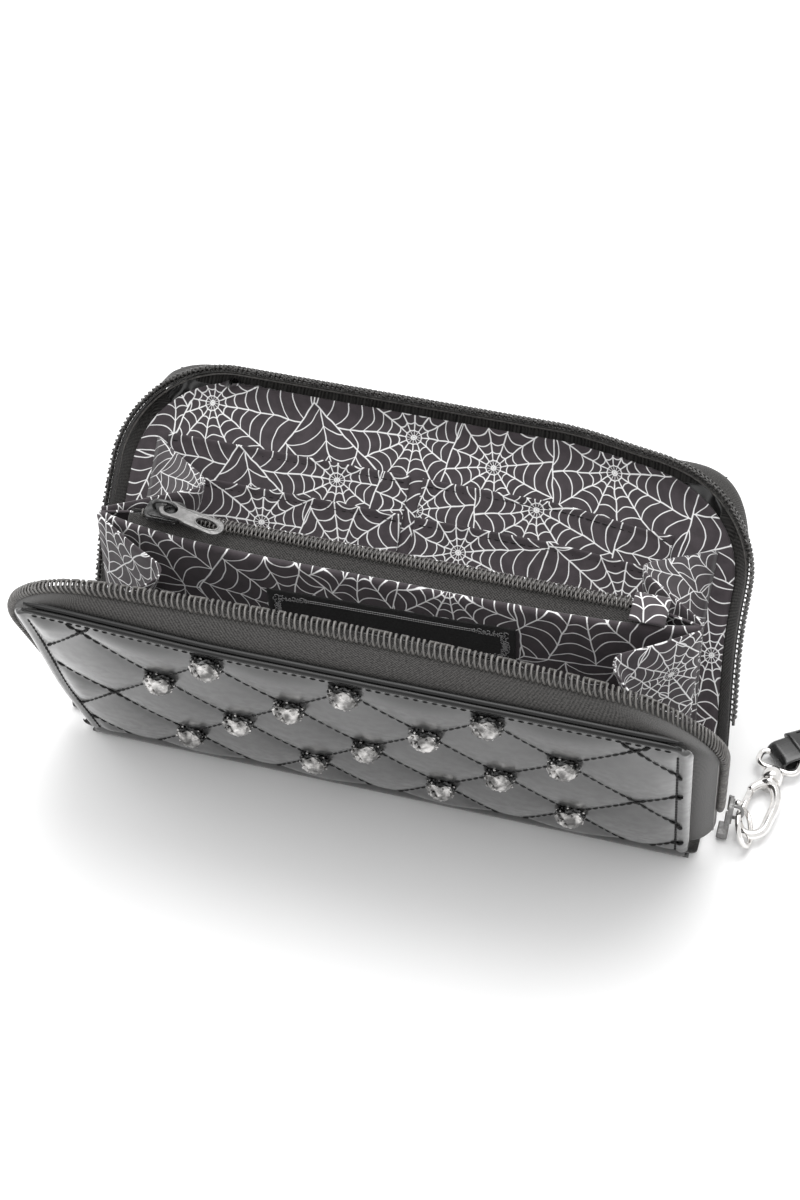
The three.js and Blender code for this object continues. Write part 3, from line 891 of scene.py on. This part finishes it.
def lining(cover):
    def depth(u, v, edge):
        pucker = 0.25 * math.sin(u * 0.9) * math.exp(-edge / 3) + 0.35 * rumple((u, v, 1), 22, cover.sign)
        return 4.7 + pucker + 1.6 * math.exp(-((edge / 3) ** 2))

    shape = rounded_sheet(cover, depth=depth, **LINING)
    piece = mesh_piece(f"{cover.side}_lining", shape, "print_lining")
    thicken(piece, 0.5)
    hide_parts(f"{cover.side}_cover_lining")
    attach(piece, cover.body)


def board(cover):
    shape = rounded_sheet(cover, 91, 5, 92, 27, lambda u, v, edge: 2.6, 30, 40)
    piece = mesh_piece(f"{cover.side}_stiffener", shape, "board")
    thicken(piece, 0.9)
    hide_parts(f"{cover.side}_cover_board")
    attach(piece, cover.body)


def card_slot(cover, node):
    low, high = box(node)
    left, right = low[0], high[0]
    number = int(node[-1])
    corners = [np.array(v.co) / MM - cover.hinge for v in frame["nodes"][node].data.vertices]
    heights = [float(corner @ cover.upward) for corner in corners]
    near = min(float(corner @ cover.inward) for corner in corners)
    bottom, top = min(heights), max(heights)
    vs = [*np.linspace(bottom, top - 3, 16), top - 1.6, top - 0.7, top - 0.15, top]

    def place(v, u):
        from_top = top - v
        ease = max(0, min(1, (u - left) / 6, (right - u) / 6))
        gape = 1.1 * math.exp(-from_top / 5) * ease * (0.6 + 0.5 * rumple((u, top, number), 17))
        lip = 0.4 * math.exp(-((from_top - 0.5) / 0.8) ** 2)
        return cover.point(u, v, near + 0.25 + gape + lip), (u + 21.0 * number, v + 17.0 * number, 0)

    shape = surface(vs, np.linspace(left, right, 46), place)
    piece = mesh_piece(f"{node}_cloth", shape, "print_lining")
    thicken(piece, 0.45)
    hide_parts(node)
    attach(piece, cover.body)
    line = [(u, top - 2.2, near + 0.75) for u in np.arange(left + 1, right, 2)]
    return cover.spots(line)


def card_slots(cover):
    shape = Shape()
    lines = []
    for node in sorted(n for n in frame["nodes"] if n.startswith("card_slot_")):
        points = card_slot(cover, node)
        lines.append((points, [cover.inward] * len(points)))
    stitches(shape, lines, 1.9, 2.6, 0.17)
    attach(mesh_piece("card_slot_stitching", shape, "thread"), cover.body)


# ---------- spine and hinge strips ----------

def slab(low, high):
    """A box from its two corners, as vertices and faces."""
    (x0, y0, z0), (x1, y1, z1) = low, high
    verts = [(x, y, z) for z in (z0, z1) for y in (y0, y1) for x in (x0, x1)]
    faces = [(0, 2, 3, 1), (4, 5, 7, 6), (0, 1, 5, 4), (2, 6, 7, 3), (0, 4, 6, 2), (1, 3, 7, 5)]
    return verts, faces


def rounded_block(name, node, finish, edge):
    piece = mesh_piece(name, Shape().add(*slab(*box(node))), finish)
    bevel(piece, edge)
    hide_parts(node)
    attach(piece, "spine")


def spine():
    low, high = box("spine_panel")

    def outer(y, x):
        edge = min(1, (high[1] - abs(y)) / 2.5, (high[0] - abs(x)) / 2.5)
        return (x, y, 0.75 - 0.5 * max(0, edge) ** 0.5), (x, y, 0)

    shape = surface(np.linspace(low[1], high[1], 15), np.linspace(low[0], high[0], 80), outer, flip=True)
    piece = mesh_piece("spine_outer", shape, "vinyl")
    thicken(piece, 0.8, -1)
    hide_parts("spine_panel")
    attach(piece, "spine")
    low, high = box("spine_lining")

    def inner(y, x):
        return (x, y, low[2] + 0.4 + 0.25 * rumple((x, y, 0), 14)), (x, y, 0)

    shape = surface(np.linspace(low[1], high[1], 12), np.linspace(low[0], high[0], 70), inner)
    cloth = mesh_piece("spine_cloth", shape, "print_lining")
    thicken(cloth, 0.5)
    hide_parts("spine_lining")
    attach(cloth, "spine")


def hinge_strip(cover, name, half, cover_spot, spine_spot, bow, material, thickness):
    """A strip of the outer or the lining that turns from a cover to the spine."""
    start, end = np.array(cover.point(0, *cover_spot)), np.array((0, *spine_spot))

    def place(share, x):
        middle = start + (end - start) * share + np.array(bow) * math.sin(math.pi * share)
        return middle + np.array((x, 0, 0)), (x, 200 + share * np.linalg.norm(end - start), 0)

    shape = surface(np.linspace(0, 1, 9), np.linspace(-half, half, 60), place, flip=cover.sign > 0)
    piece = mesh_piece(name, shape, material)
    thicken(piece, thickness)
    soften(piece)
    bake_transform(piece)


def hinge_strips(cover):
    hinge_strip(cover, f"{cover.side}_hinge_outer", PANEL_HALF - 1, (3.2, 0.75), (cover.sign * 11.6, 0.55),
                (0, cover.sign * 0.4, -0.5), "vinyl", 0.9)
    hinge_strip(cover, f"{cover.side}_hinge_cloth", 88, (4.0, 4.7), (cover.sign * 10.6, 1.75),
                (0, 0, -0.4), "print_lining", 0.4)


def zip_end(cover, sign):
    """The tape's tail that runs down from a cover and across half of the spine's end."""
    spots = []
    for share in np.linspace(0, 1, 10):
        turn = share * math.pi / 2
        y = cover.sign * (13.2 * math.cos(turn) ** 0.7 if share < 1 else 0)
        z = 1.6 + 3.4 * (1 - math.sin(turn)) ** 1.4
        spots.append((y, z))

    def place(n, across):
        x, drop = across
        y, z = spots[n]
        return (sign * x, y, z + drop), (x, n * 2.0, 0)

    shape = surface(range(10), ((88, 0.6), (91, 0.2), (93, 0.2), (94.6, 0.8), (95.2, 2.0)), place)
    side = "left" if sign < 0 else "right"
    piece = mesh_piece(f"{cover.side}_zip_tail_{side}", shape, "zipper_tape")
    thicken(piece, 0.5)
    soften(piece)
    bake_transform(piece)


# ---------- gussets ----------

GUSSET_GRID = (34, 30)
GUSSET_FOLD = {-1: 22, 1: 16.5}  # how far in the fold leans at its top, at the left and at the right


def gusset(cover, sign):
    """A pleated side panel, sewn to the pocket's side seam and to the cover, folded in between."""
    def place(share, t):
        z = 4 + 79 * share
        seam = np.array((sign * 86.8, cover.sign * (0.9 + 0.6 * share), z))
        fold = np.array((sign * (81 - GUSSET_FOLD[sign] * share), cover.sign * (6 + 13 * share), z))
        hem = cover.point(sign * 88.5, 3.5 + 71.5 * share, 5.2)
        spot = seam + (fold - seam) * (2 * t) if t < 0.5 else fold + (hem - fold) * (2 * t - 1)
        rounding = 0.09 * math.exp(-((t - 0.5) / 0.05) ** 2)
        sag = math.sin(math.pi * min(1, abs(2 * t - 1))) * share * (1 - abs(2 * share - 1))
        wave = rumple((t * 40, share * 78, sign), 15, 3 + cover.sign) * math.sin(math.pi * t)
        spot = spot + ((seam + hem) / 2 - fold) * rounding + (0, 0, -0.66 * sag)
        length = np.linalg.norm(fold - seam) + np.linalg.norm(hem - fold)
        shift = 60 if sign > 0 else 0
        return (spot + np.array((sign * 1.5, cover.sign * 0.8, 0)) * wave,
                (t * length + shift, share * 78 + 40 * cover.sign, 0))

    rows, columns = GUSSET_GRID
    shape = surface(np.linspace(0, 1, rows), np.linspace(0, 1, columns), place)
    side = "left" if sign < 0 else "right"
    piece = mesh_piece(f"{cover.side}_gusset_{side}", shape, "print_lining")
    points = np.array(shape.verts).reshape(rows, columns, 3)
    a, b = points[1:, :-1] - points[:-1, :-1], points[:-1, 1:] - points[:-1, :-1]
    c, d = points[1:, :-1] - points[1:, 1:], points[:-1, 1:] - points[1:, 1:]
    area = (np.linalg.norm(np.cross(a, b), axis=2) + np.linalg.norm(np.cross(c, d), axis=2)).sum() / 2
    thicken(piece, 0.45)
    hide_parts(f"gusset_{cover.side}_{side}")
    on_cover = cover.point(0, 40, 5.0)
    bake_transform(piece)


# ---------- coin pocket ----------

POCKET_HALF = 86.6
POCKET_BOTTOM = 3.8
POCKET_TOP = 82.8


def pocket_wall_y(x, z):
    """How far a pocket wall stands from the middle: shut at the side seams, fuller at the top."""
    width = max(0.0, 1 - (abs(x) / POCKET_HALF) ** 5)
    return 0.7 + width * (2.2 + 3.6 * smoothstep((z - 20) / 62)) + 0.35 * width * rumple((x, z, 5), 24)


def press_flat(piece, sign):
    """Gives the pocket's back side a mesh of its own."""
    if sign > 0:
        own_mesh(piece)


def pocket_wall(name, node, sign, seed):
    rim = [POCKET_TOP + rise for rise in (-0.9, -0.2, 0.1, -0.1)]  # the last of them is turned under
    zs = [*np.linspace(POCKET_BOTTOM, POCKET_TOP - 2, 34), *rim]

    def place(r, x):
        z, last = zs[r], len(zs) - 1
        turned = max(0, r - (last - 3)) * 0.4
        return (x, sign * (pocket_wall_y(x, z) - turned), z), (x + seed, z + int(r == last) + seed, 0)

    shape = surface(range(len(zs)), np.linspace(-POCKET_HALF, POCKET_HALF, 110), place, flip=sign > 0)
    piece = mesh_piece(name, shape, "print_lining")
    thicken(piece, 0.5)
    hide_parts(node)
    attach(piece, "spine")
    press_flat(piece, sign)


POCKET_COIL_Y = 0.9
POCKET_COIL_Z = 85.6
POCKET_PITCH = 1.25


def pocket_tape(name, node, sign):
    low, high = box(node)
    edge_y, edge_z = POCKET_COIL_Y + sign * 0.9, POCKET_COIL_Z - 0.9
    base_z = POCKET_TOP - 1.2

    def place(share, x):
        sewn = sign * (pocket_wall_y(x, POCKET_TOP) - 0.6)
        z = base_z + (edge_z - base_z) * share ** 0.75 + 0.25 * rumple((x, share * 8, 2), 12)
        return (x, sewn + (edge_y - sewn) * share, z), (x, 7 * share + 10 * sign, 0)

    shape = surface(np.linspace(0, 1, 8), np.linspace(low[0] - 1.5, high[0], 100), place, flip=sign > 0)
    piece = mesh_piece(name, shape, "zipper_tape")
    thicken(piece, 0.45)
    soften(piece)
    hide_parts(node)
    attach(piece, "spine")
    press_flat(piece, sign)


def pocket_coil():
    """The closed chain: two coils whose heads mesh along the middle."""
    low, high = box("pocket_coil")
    shape = Shape()
    per_turn = 12
    turns = int((high[0] - low[0]) / POCKET_PITCH)
    phase = np.arange(turns * per_turn + 1) * 2 * math.pi / per_turn
    for sign in (-1, 1):
        xs = low[0] + 0.4 + phase / (2 * math.pi) * POCKET_PITCH + (sign > 0) * POCKET_PITCH / 2
        ys = POCKET_COIL_Y + sign * (0.95 - 1.15 * np.sign(np.cos(phase)) * np.abs(np.cos(phase)) ** 0.8)
        zs = POCKET_COIL_Z + 0.62 * np.sin(phase)
        head = np.clip((np.cos(phase) - 0.4) / 0.6, 0, 1)
        keep = xs < high[0]
        path = np.stack([xs, ys, zs], 1)[keep]
        shape.add(*tube(path, (0.27 * (1 + 0.3 * head))[keep], 6))
    piece = mesh_piece("pocket_chain", shape, "zipper_coil")
    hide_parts("pocket_coil")
    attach(piece, "spine")


def pocket_end_tab():
    low, high = box("pocket_end_tab")

    def place(y, x):
        droop = 0.035 * (y - POCKET_COIL_Y) ** 2 + 0.5 * max(0, x - high[0])
        return (x, y, high[2] + 0.3 - droop + 0.2 * rumple((x, y, 0), 4)), (x + 24, y + 31, 0)

    rows, columns = np.linspace(low[1] + 0.4, high[1] - 0.4, 14), np.linspace(low[0], high[0] + 1.0, 12)
    shape = surface(rows, columns, place)
    piece = mesh_piece("pocket_end_cloth", shape, "print_lining")
    thicken(piece, 0.7)
    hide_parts("pocket_end_tab")
    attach(piece, "spine")


def label():
    """A woven label with a plain scroll border and nothing written on it."""
    low, high = box("pocket_label")
    low, high = low + (1.3, 0, 2.8), high + (1.3, 0, 0)
    middle = (low + high) / 2
    askew = math.radians(2.2)

    def on_wall(x, z, proud):
        a, b = x - middle[0], z - middle[2]
        x, z = middle[0] + a * math.cos(askew) - b * math.sin(askew), middle[2] + a * math.sin(askew) + b
        return x, -pocket_wall_y(x, z) - proud, z

    def place(z, x):
        a, depth, b = on_wall(x, z, 0.5 + 0.12 * rumple((x, z, 1), 9))
        return (a, depth, b), (a, b, 0)

    shape = surface(np.linspace(low[2], high[2], 24), np.linspace(low[0], high[0], 80), place)
    piece = mesh_piece("pocket_label_cloth", shape, "label_cloth")
    thicken(piece, 0.4)
    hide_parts("pocket_label")
    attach(piece, "spine")
    border = Shape()
    left, right, bottom, top = low[0] + 2.4, high[0] - 2.4, low[2] + 2.2, high[2] - 2.2
    for z, gap in ((top, 0.7), (bottom, -0.7)):
        for shift in (0, gap):
            line = [on_wall(x, z - shift, 0.8) for x in np.linspace(left + 9, right - 9, 40)]
            border.add(*tube(line, 0.13, 5))
    for sx, x in ((1, left), (-1, right)):
        for sz, z in ((1, bottom), (-1, top)):
            for k in range(8):
                curl(border, on_wall, x + sx * (0.4 + 1.25 * k), z + sz * 0.5 * (k % 2), 0.85, k * 1.1)
                curl(border, on_wall, x + sx * (1.2 + 1.1 * k), z + sz * (1.2 - 0.1 * k), 0.6, k * 0.7)
            for k in range(6):
                curl(border, on_wall, x + sx * 0.6 * (k % 2), z + sz * (1.2 + 1.1 * k), 0.8, k * 0.9 + 2)
                curl(border, on_wall, x + sx * (1.5 - 0.15 * k), z + sz * (1.8 + 0.9 * k), 0.55, k * 1.3)
    trim = mesh_piece("pocket_label_border", border, "label_thread")
    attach(trim, "spine")


def curl(shape, on_wall, x, z, size, start):
    """One scroll of the border: a small thread spiral."""
    path = []
    for turn in np.linspace(0, 4.6, 14):
        reach = size * (1 - turn / 6.5)
        path.append(on_wall(x + reach * math.cos(start + turn), z + reach * math.sin(start + turn), 0.8))
    shape.add(*tube(path, 0.13, 4))


# ---------- hardware ----------

def outline_plate(outline, holes, thickness, height):
    """A flat plate cut from 2-D outlines with Blender's own curve fill, as vertices and faces."""
    curve = bpy.data.curves.new("outline", "CURVE")
    curve.dimensions, curve.fill_mode, curve.extrude = "2D", "BOTH", thickness / 2
    for ring in [outline, *holes]:
        made = curve.splines.new("POLY")
        made.points.add(len(ring) - 1)
        for point, (x, y) in zip(made.points, ring):
            point.co = (x, y, 0, 1)
        made.use_cyclic_u = True
    holder = bpy.data.objects.new("outline", curve)
    bpy.context.scene.collection.objects.link(holder)
    bpy.context.view_layer.update()
    mesh = bpy.data.meshes.new_from_object(holder.evaluated_get(bpy.context.evaluated_depsgraph_get()))
    verts = [(v.co.x, v.co.y, v.co.z + height) for v in mesh.vertices]
    faces = [tuple(p.vertices) for p in mesh.polygons]
    bpy.data.objects.remove(holder)
    return verts, faces


def plate_piece(name, shape, finish, edge):
    """A piece of cut plates: their doubled edge vertices are joined, so that a bevel can round them."""
    piece = mesh_piece(name, shape, finish)
    modifier(piece, "WELD", merge_threshold=0.00001)
    bevel(piece, edge)
    return piece


def ellipse(x, a, b):
    turns = np.linspace(0, 2 * math.pi, 28, endpoint=False)
    return [(x + a * math.cos(t), b * math.sin(t)) for t in turns]


def rectangle(half_x, half_y, corner, count, x=0.0):
    """A rounded rectangle's outline about (x, 0), each corner of `count` points."""
    x0, x1, y0, y1 = x - half_x, x + half_x, -half_y, half_y
    points = []
    for cx, cy, start in ((x1 - corner, y1 - corner, 0), (x0 + corner, y1 - corner, 1),
                          (x0 + corner, y0 + corner, 2), (x1 - corner, y0 + corner, 3)):
        for k in range(count):
            turn = (start + k / (count - 1)) * math.pi / 2
            points.append((cx + corner * math.cos(turn), cy + corner * math.sin(turn)))
    return points


def placed(shape, matrix):
    shape.verts = [tuple(matrix @ Vector(v)) for v in shape.verts]
    return shape


def slider_shape(length, width, gap, window_height):
    """A zip slider along X, its top plate above the coil, with a bridge that holds the pull."""
    shape = Shape()
    for inset, narrower, corner, thickness, height in ((0, 0, 2.2, 1.0, 0.5), (0.8, 0.4, 2, 0.5, 1.15)):
        outline = rectangle(length / 2 - inset, width / 2 - narrower, corner, 6)
        shape.add(*outline_plate(outline, [], thickness, gap + height))
    xs = np.linspace(-length / 2 + 1.2, length / 2 - 1.2, 6)
    for sign in (-1, 1):
        shape.add(*tube([(x, sign * (width / 2 - 0.35), gap - 0.2) for x in xs], 0.42, 8))
    bridge = []
    for turn in np.linspace(0, math.pi, 15):
        rise = (window_height + 0.6) * math.sin(turn) ** 0.5
        bridge.append((-(length * 0.3) * math.cos(turn), 0, gap + 1.2 + rise))
    shape.add(*tube(bridge, 0.55, 8))
    return shape


def pocket_slider():
    low, high = box("pocket_slider")
    x = (low[0] + high[0]) / 2
    shape = slider_shape(high[0] - low[0], high[1] - low[1], 1.5, 2.2)
    placed(shape, Matrix.Translation((x - 0.6, POCKET_COIL_Y * 0.5, POCKET_COIL_Z - 0.2)))
    piece = plate_piece("pocket_slider_body", shape, "black_metal", 0.22)
    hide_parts("pocket_slider")
    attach(piece, "pocket_slider")


PULL_DROOP = math.radians(4)
PULL_YAW = math.radians(-12)


def pocket_pull():
    """A satin tab: a ring head round the slider's bridge, a neck, and a body with an oval finger hole."""
    hinge = np.array(joint("pocket_pull_hinge")["pos_m"]) / MM
    holes = [ellipse(2.7, 2.1, 1.95), ellipse(14.4, 3.4, 1.7)]
    head = [(2.4 - 3.0 * math.cos(t), 2.95 * math.sin(t)) for t in np.linspace(-1.9, 1.9, 17)]
    nose = [(16.6 + 3.0 * math.cos(t), 3.0 * math.sin(t)) for t in np.linspace(-math.pi / 2, math.pi / 2, 15)]
    outline = [*head, (6.6, 2.4), (9, 2.9), *nose[::-1], (9, -2.9), (6.6, -2.4)]
    shape = Shape().add(*outline_plate(outline, holes, 0.9, 0))
    turns = np.linspace(0, 2 * math.pi, 32, endpoint=False)
    shape.add(*tube([(14.4 + 3.6 * math.cos(t), 1.9 * math.sin(t), 0.4) for t in turns], 0.3, 8, closed=True))
    turn = Matrix.Rotation(PULL_DROOP, 4, "Y")
    placed(shape, Matrix.Translation(hinge) @ Matrix.Rotation(PULL_YAW, 4, "Z") @ turn)
    piece = plate_piece("pocket_pull_tab", shape, "satin_metal", 0.2)
    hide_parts("pocket_pull")
    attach(piece, "pocket_pull")


def main_slider():
    low, high = box("main_slider")
    shape = slider_shape(high[2] - low[2] - 2.5, high[1] - low[1] - 2, 1.5, 2.3)
    turn = Matrix.Rotation(math.pi / 2, 4, "Y")
    placed(shape, Matrix.Translation((low[0] - 1.6, 0, (low[2] + high[2]) / 2)) @ turn)
    piece = plate_piece("main_slider_body", shape, "satin_metal", 0.22)
    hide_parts("main_slider")
    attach(piece, "main_slider")


def slider_ring():
    low, high = box("slider_ring")
    centre = (low + high) / 2
    tilt = math.radians(65)
    radius, wire = (high[1] - low[1]) / 2 - 0.8, 0.8
    path = []
    for turn in np.linspace(0, 2 * math.pi, 48, endpoint=False):
        a, b = radius * math.cos(turn), radius * math.sin(turn)
        path.append(centre + np.array((a * math.cos(tilt), b, -a * math.sin(tilt))))
    shape = Shape().add(*tube(path, wire, 12, closed=True))
    piece = mesh_piece("slider_ring_wire", shape, "chrome")
    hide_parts("slider_ring")
    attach(piece, "slider_ring")


CLASP_HEADING = math.radians(80)
# along the clasp's own +X, from the ring it hangs on
SWIVEL_AT = 24.0
EYE_BAR_AT = 34.8
HOOK_LINE = [(21.5, 0), (18.6, -2.6), (14, -4.2), (8, -4.3), (2.5, -3.9), (-0.2, -1.4), (0.2, 1.7),
             (3.4, 3.7), (5.2, 3.9)]
HOOK_BACK = [(21.5, 0), (19.5, 2.4), (17.2, 3.9), (16.2, 4.1)]


def clasp():
    """A lobster clasp along its own +X: round nose over the ring, sprung gate, swivel barrel and eye."""
    pivot = np.array(joint("swivel_spin")["pos_m"]) / MM
    origin = pivot - around(1, CLASP_HEADING) * SWIVEL_AT
    at = Matrix.Translation(origin) @ Matrix.Rotation(CLASP_HEADING, 4, "Z")
    hook = Shape()
    line, back = (spline([(x, y, 0) for x, y in points], count)
                  for points, count in ((HOOK_LINE, 60), (HOOK_BACK, 16)))
    hook.add(*tube(line, 1.75 - 0.65 * np.linspace(0, 1, 60) ** 1.5, 14))
    hook.add(*tube(back, np.linspace(1.7, 1.25, 16), 12))
    neck = [(x, 0, 0) for x in (19.5, 20.4, 21.2, 21.3, 26.0)]
    hook.add(*tube(neck, [2.6, 2.9, 2.4, 1.3, 1.3], 18))
    gate = Shape()
    gate.add(*tube([(x, 4.1, 0) for x in (5.9, 6.4, 11, 15.2, 15.9)], [0.75, 1.0, 1.1, 1.1, 0.8], 12))
    gate.add(*tube([(9.5, 4.6, 0), (9.5, 5.8, 0), (9.5, 6.6, 0), (9.5, 6.9, 0)], [1.0, 1.25, 1.2, 0.7], 14))
    swivel = Shape()
    barrel = [(x, 0, 0) for x in (21.6, 21.9, 23.2, 24.6, 25.4, 26.0, 26.8)]
    swivel.add(*tube(barrel, [2.6, 3.2, 3.3, 3.3, 3.1, 2.5, 1.9], 20))
    loop = [(x, y, 0) for x, y in rectangle(3.2, 6.1, 2.6, 8, x=30.4)]
    swivel.add(*tube(loop, 0.95, 12, closed=True))
    for name, shape, node, body in (
        ("clasp_hook_body", hook, "clasp_hook", "clasp"),
        ("clasp_gate_lever", gate, "clasp_gate", "clasp_gate"),
        ("swivel_eye_loop", swivel, "swivel_eye", "swivel"),
    ):
        piece = mesh_piece(name, placed(shape, at), "chrome")
        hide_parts(node)
        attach(piece, body)


# ---------- wrist strap ----------

STRAP_WIDTH = 10
STRAP_THICKNESS = 1.9
STRAP_STEP = 1.5
STRAP_HEADING = math.radians(40)
# distance from the eye and height: out along the top, round the far end and back
STRAP_ROUTE = [
    (3, 5.6), (10, 4.9), (22, 5.2), (36, 6.6), (52, 9.2), (70, 12.4), (88, 15.6), (104, 18.0), (118, 19.0),
    (129, 17.4), (136, 13.0), (138, 8.2), (134, 3.8), (126, 1.6), (114, 1.3), (96, 1.3), (76, 1.3), (56, 1.3),
    (38, 1.3), (22, 1.3), (10, 1.3), (3, 1.5),
]


def strap():
    """A flat band out from the clasp's eye and back, with a fold round the eye's bar."""
    pivot = np.array(joint("swivel_spin")["pos_m"]) / MM * (1, 1, 0)
    origin = pivot + around(1, CLASP_HEADING) * (EYE_BAR_AT - SWIVEL_AT)
    out, side = around(1, STRAP_HEADING), around(1, STRAP_HEADING + math.pi / 2)
    half, thick = STRAP_WIDTH / 2, STRAP_THICKNESS / 2
    section = []
    for turn in np.linspace(0, 2 * math.pi, 20, endpoint=False):
        c, s = math.cos(turn), math.sin(turn)
        section.append((half * math.copysign(abs(c) ** 0.35, c), thick * math.copysign(abs(s) ** 0.7, s)))

    def face_of(line):
        normals = np.cross(side, np.gradient(line, axis=0))
        return normals / np.linalg.norm(normals, axis=1)[:, None]

    def band(line, width=1.0, thickness=1.0):
        return [centre + side * a * width + normal * b * thickness
                for centre, normal in zip(line, face_of(line)) for a, b in section]

    path = evenly(spline([origin + out * x + (0, 0, z) for x, z in STRAP_ROUTE], 240), STRAP_STEP)
    flat = [(n * STRAP_STEP, a, b) for n in range(len(path)) for a, b in section]
    faces = grid_faces(len(path), len(section), wrap=True)
    faces.append(tuple(range(len(section)))[::-1])
    faces.append(tuple(range((len(path) - 1) * len(section), len(path) * len(section))))
    piece = mesh_piece("strap_band", Shape().add(band(path), faces, flat), "strap_vinyl")
    sewing = Shape()
    sewn, facing = path[2:-2], face_of(path)[2:-2]
    for sign in (-1, 1):
        for face in (-1, 1):
            points = sewn + side * sign * (half - 1.3) + facing * face * (thick - 0.08)
            stitches(sewing, [(points, facing * face)], 1.9, 2.5, 0.2)
    thread = mesh_piece("strap_stitching", sewing, "thread")
    bar = origin - around(1, CLASP_HEADING) * 1.6
    bends = [bar - out * 2.2 * math.cos(turn) + (0, 0, 3.6 + 2.1 * math.sin(turn))
             for turn in np.linspace(-0.5 * math.pi, 0.5 * math.pi, 13)]
    fold_line = np.array([bar + out * 4 + (0, 0, 1.5), *bends, bar + out * 6 + (0, 0, 5.6)])
    flat = [(a, b, 0) for _ in fold_line for a, b in section]
    faces = grid_faces(len(fold_line), len(section), wrap=True)
    shape = Shape().add(band(fold_line, 0.94, 0.6), faces, flat)
    fold = mesh_piece("strap_fold", shape, "strap_vinyl")
    low, high = box("strap_rivet")
    x, y, _ = (low + high) / 2
    dome = [(x, y, z) for z in (low[2], low[2] + 0.1, high[2] - 0.2, high[2] + 0.15, high[2] + 0.35)]
    shape = Shape().add(*tube(dome, [2.6, 3.0, 2.9, 2.0, 0.4], 24))
    rivet = mesh_piece("strap_rivet_cap", shape, "chrome")
    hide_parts("wrist_strap")
    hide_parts("strap_rivet")
    for made in (piece, thread, fold, rivet):
        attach(made, "clasp")
    float(distances(path)[-1]) * MM


# ---------- the whole wallet ----------

make_camera()
make_stage()
MATERIALS = make_materials()
strap()
FRONT, BACK = Cover("front"), Cover("back")
for side in (FRONT, BACK):
    quilted_panel(side)
    piping(side)
    zip_tape(side)
    zip_coil(side)
    lining(side)
    board(side)
    hinge_strips(side)
    for end in (-1, 1):
        gusset(side, end)
        zip_end(side, end)
studs(FRONT)
card_slots(BACK)
spine()
rounded_block("zip_end_tab_left", "zipper_end_tab", "zipper_tape", 0.8)
rounded_block("zip_bottom_stop", "zipper_bottom_stop", "satin_metal", 0.4)
pocket_wall("pocket_front_cloth", "pocket_front_wall", -1, 0)
pocket_wall("pocket_back_cloth", "pocket_back_wall", 1, 50)
pocket_tape("pocket_front_zip_tape", "pocket_front_tape", -1)
pocket_tape("pocket_back_zip_tape", "pocket_back_tape", 1)
pocket_coil()
pocket_end_tab()
label()
pocket_slider()
pocket_pull()
main_slider()
slider_ring()
clasp()

bpy.context.view_layer.update()
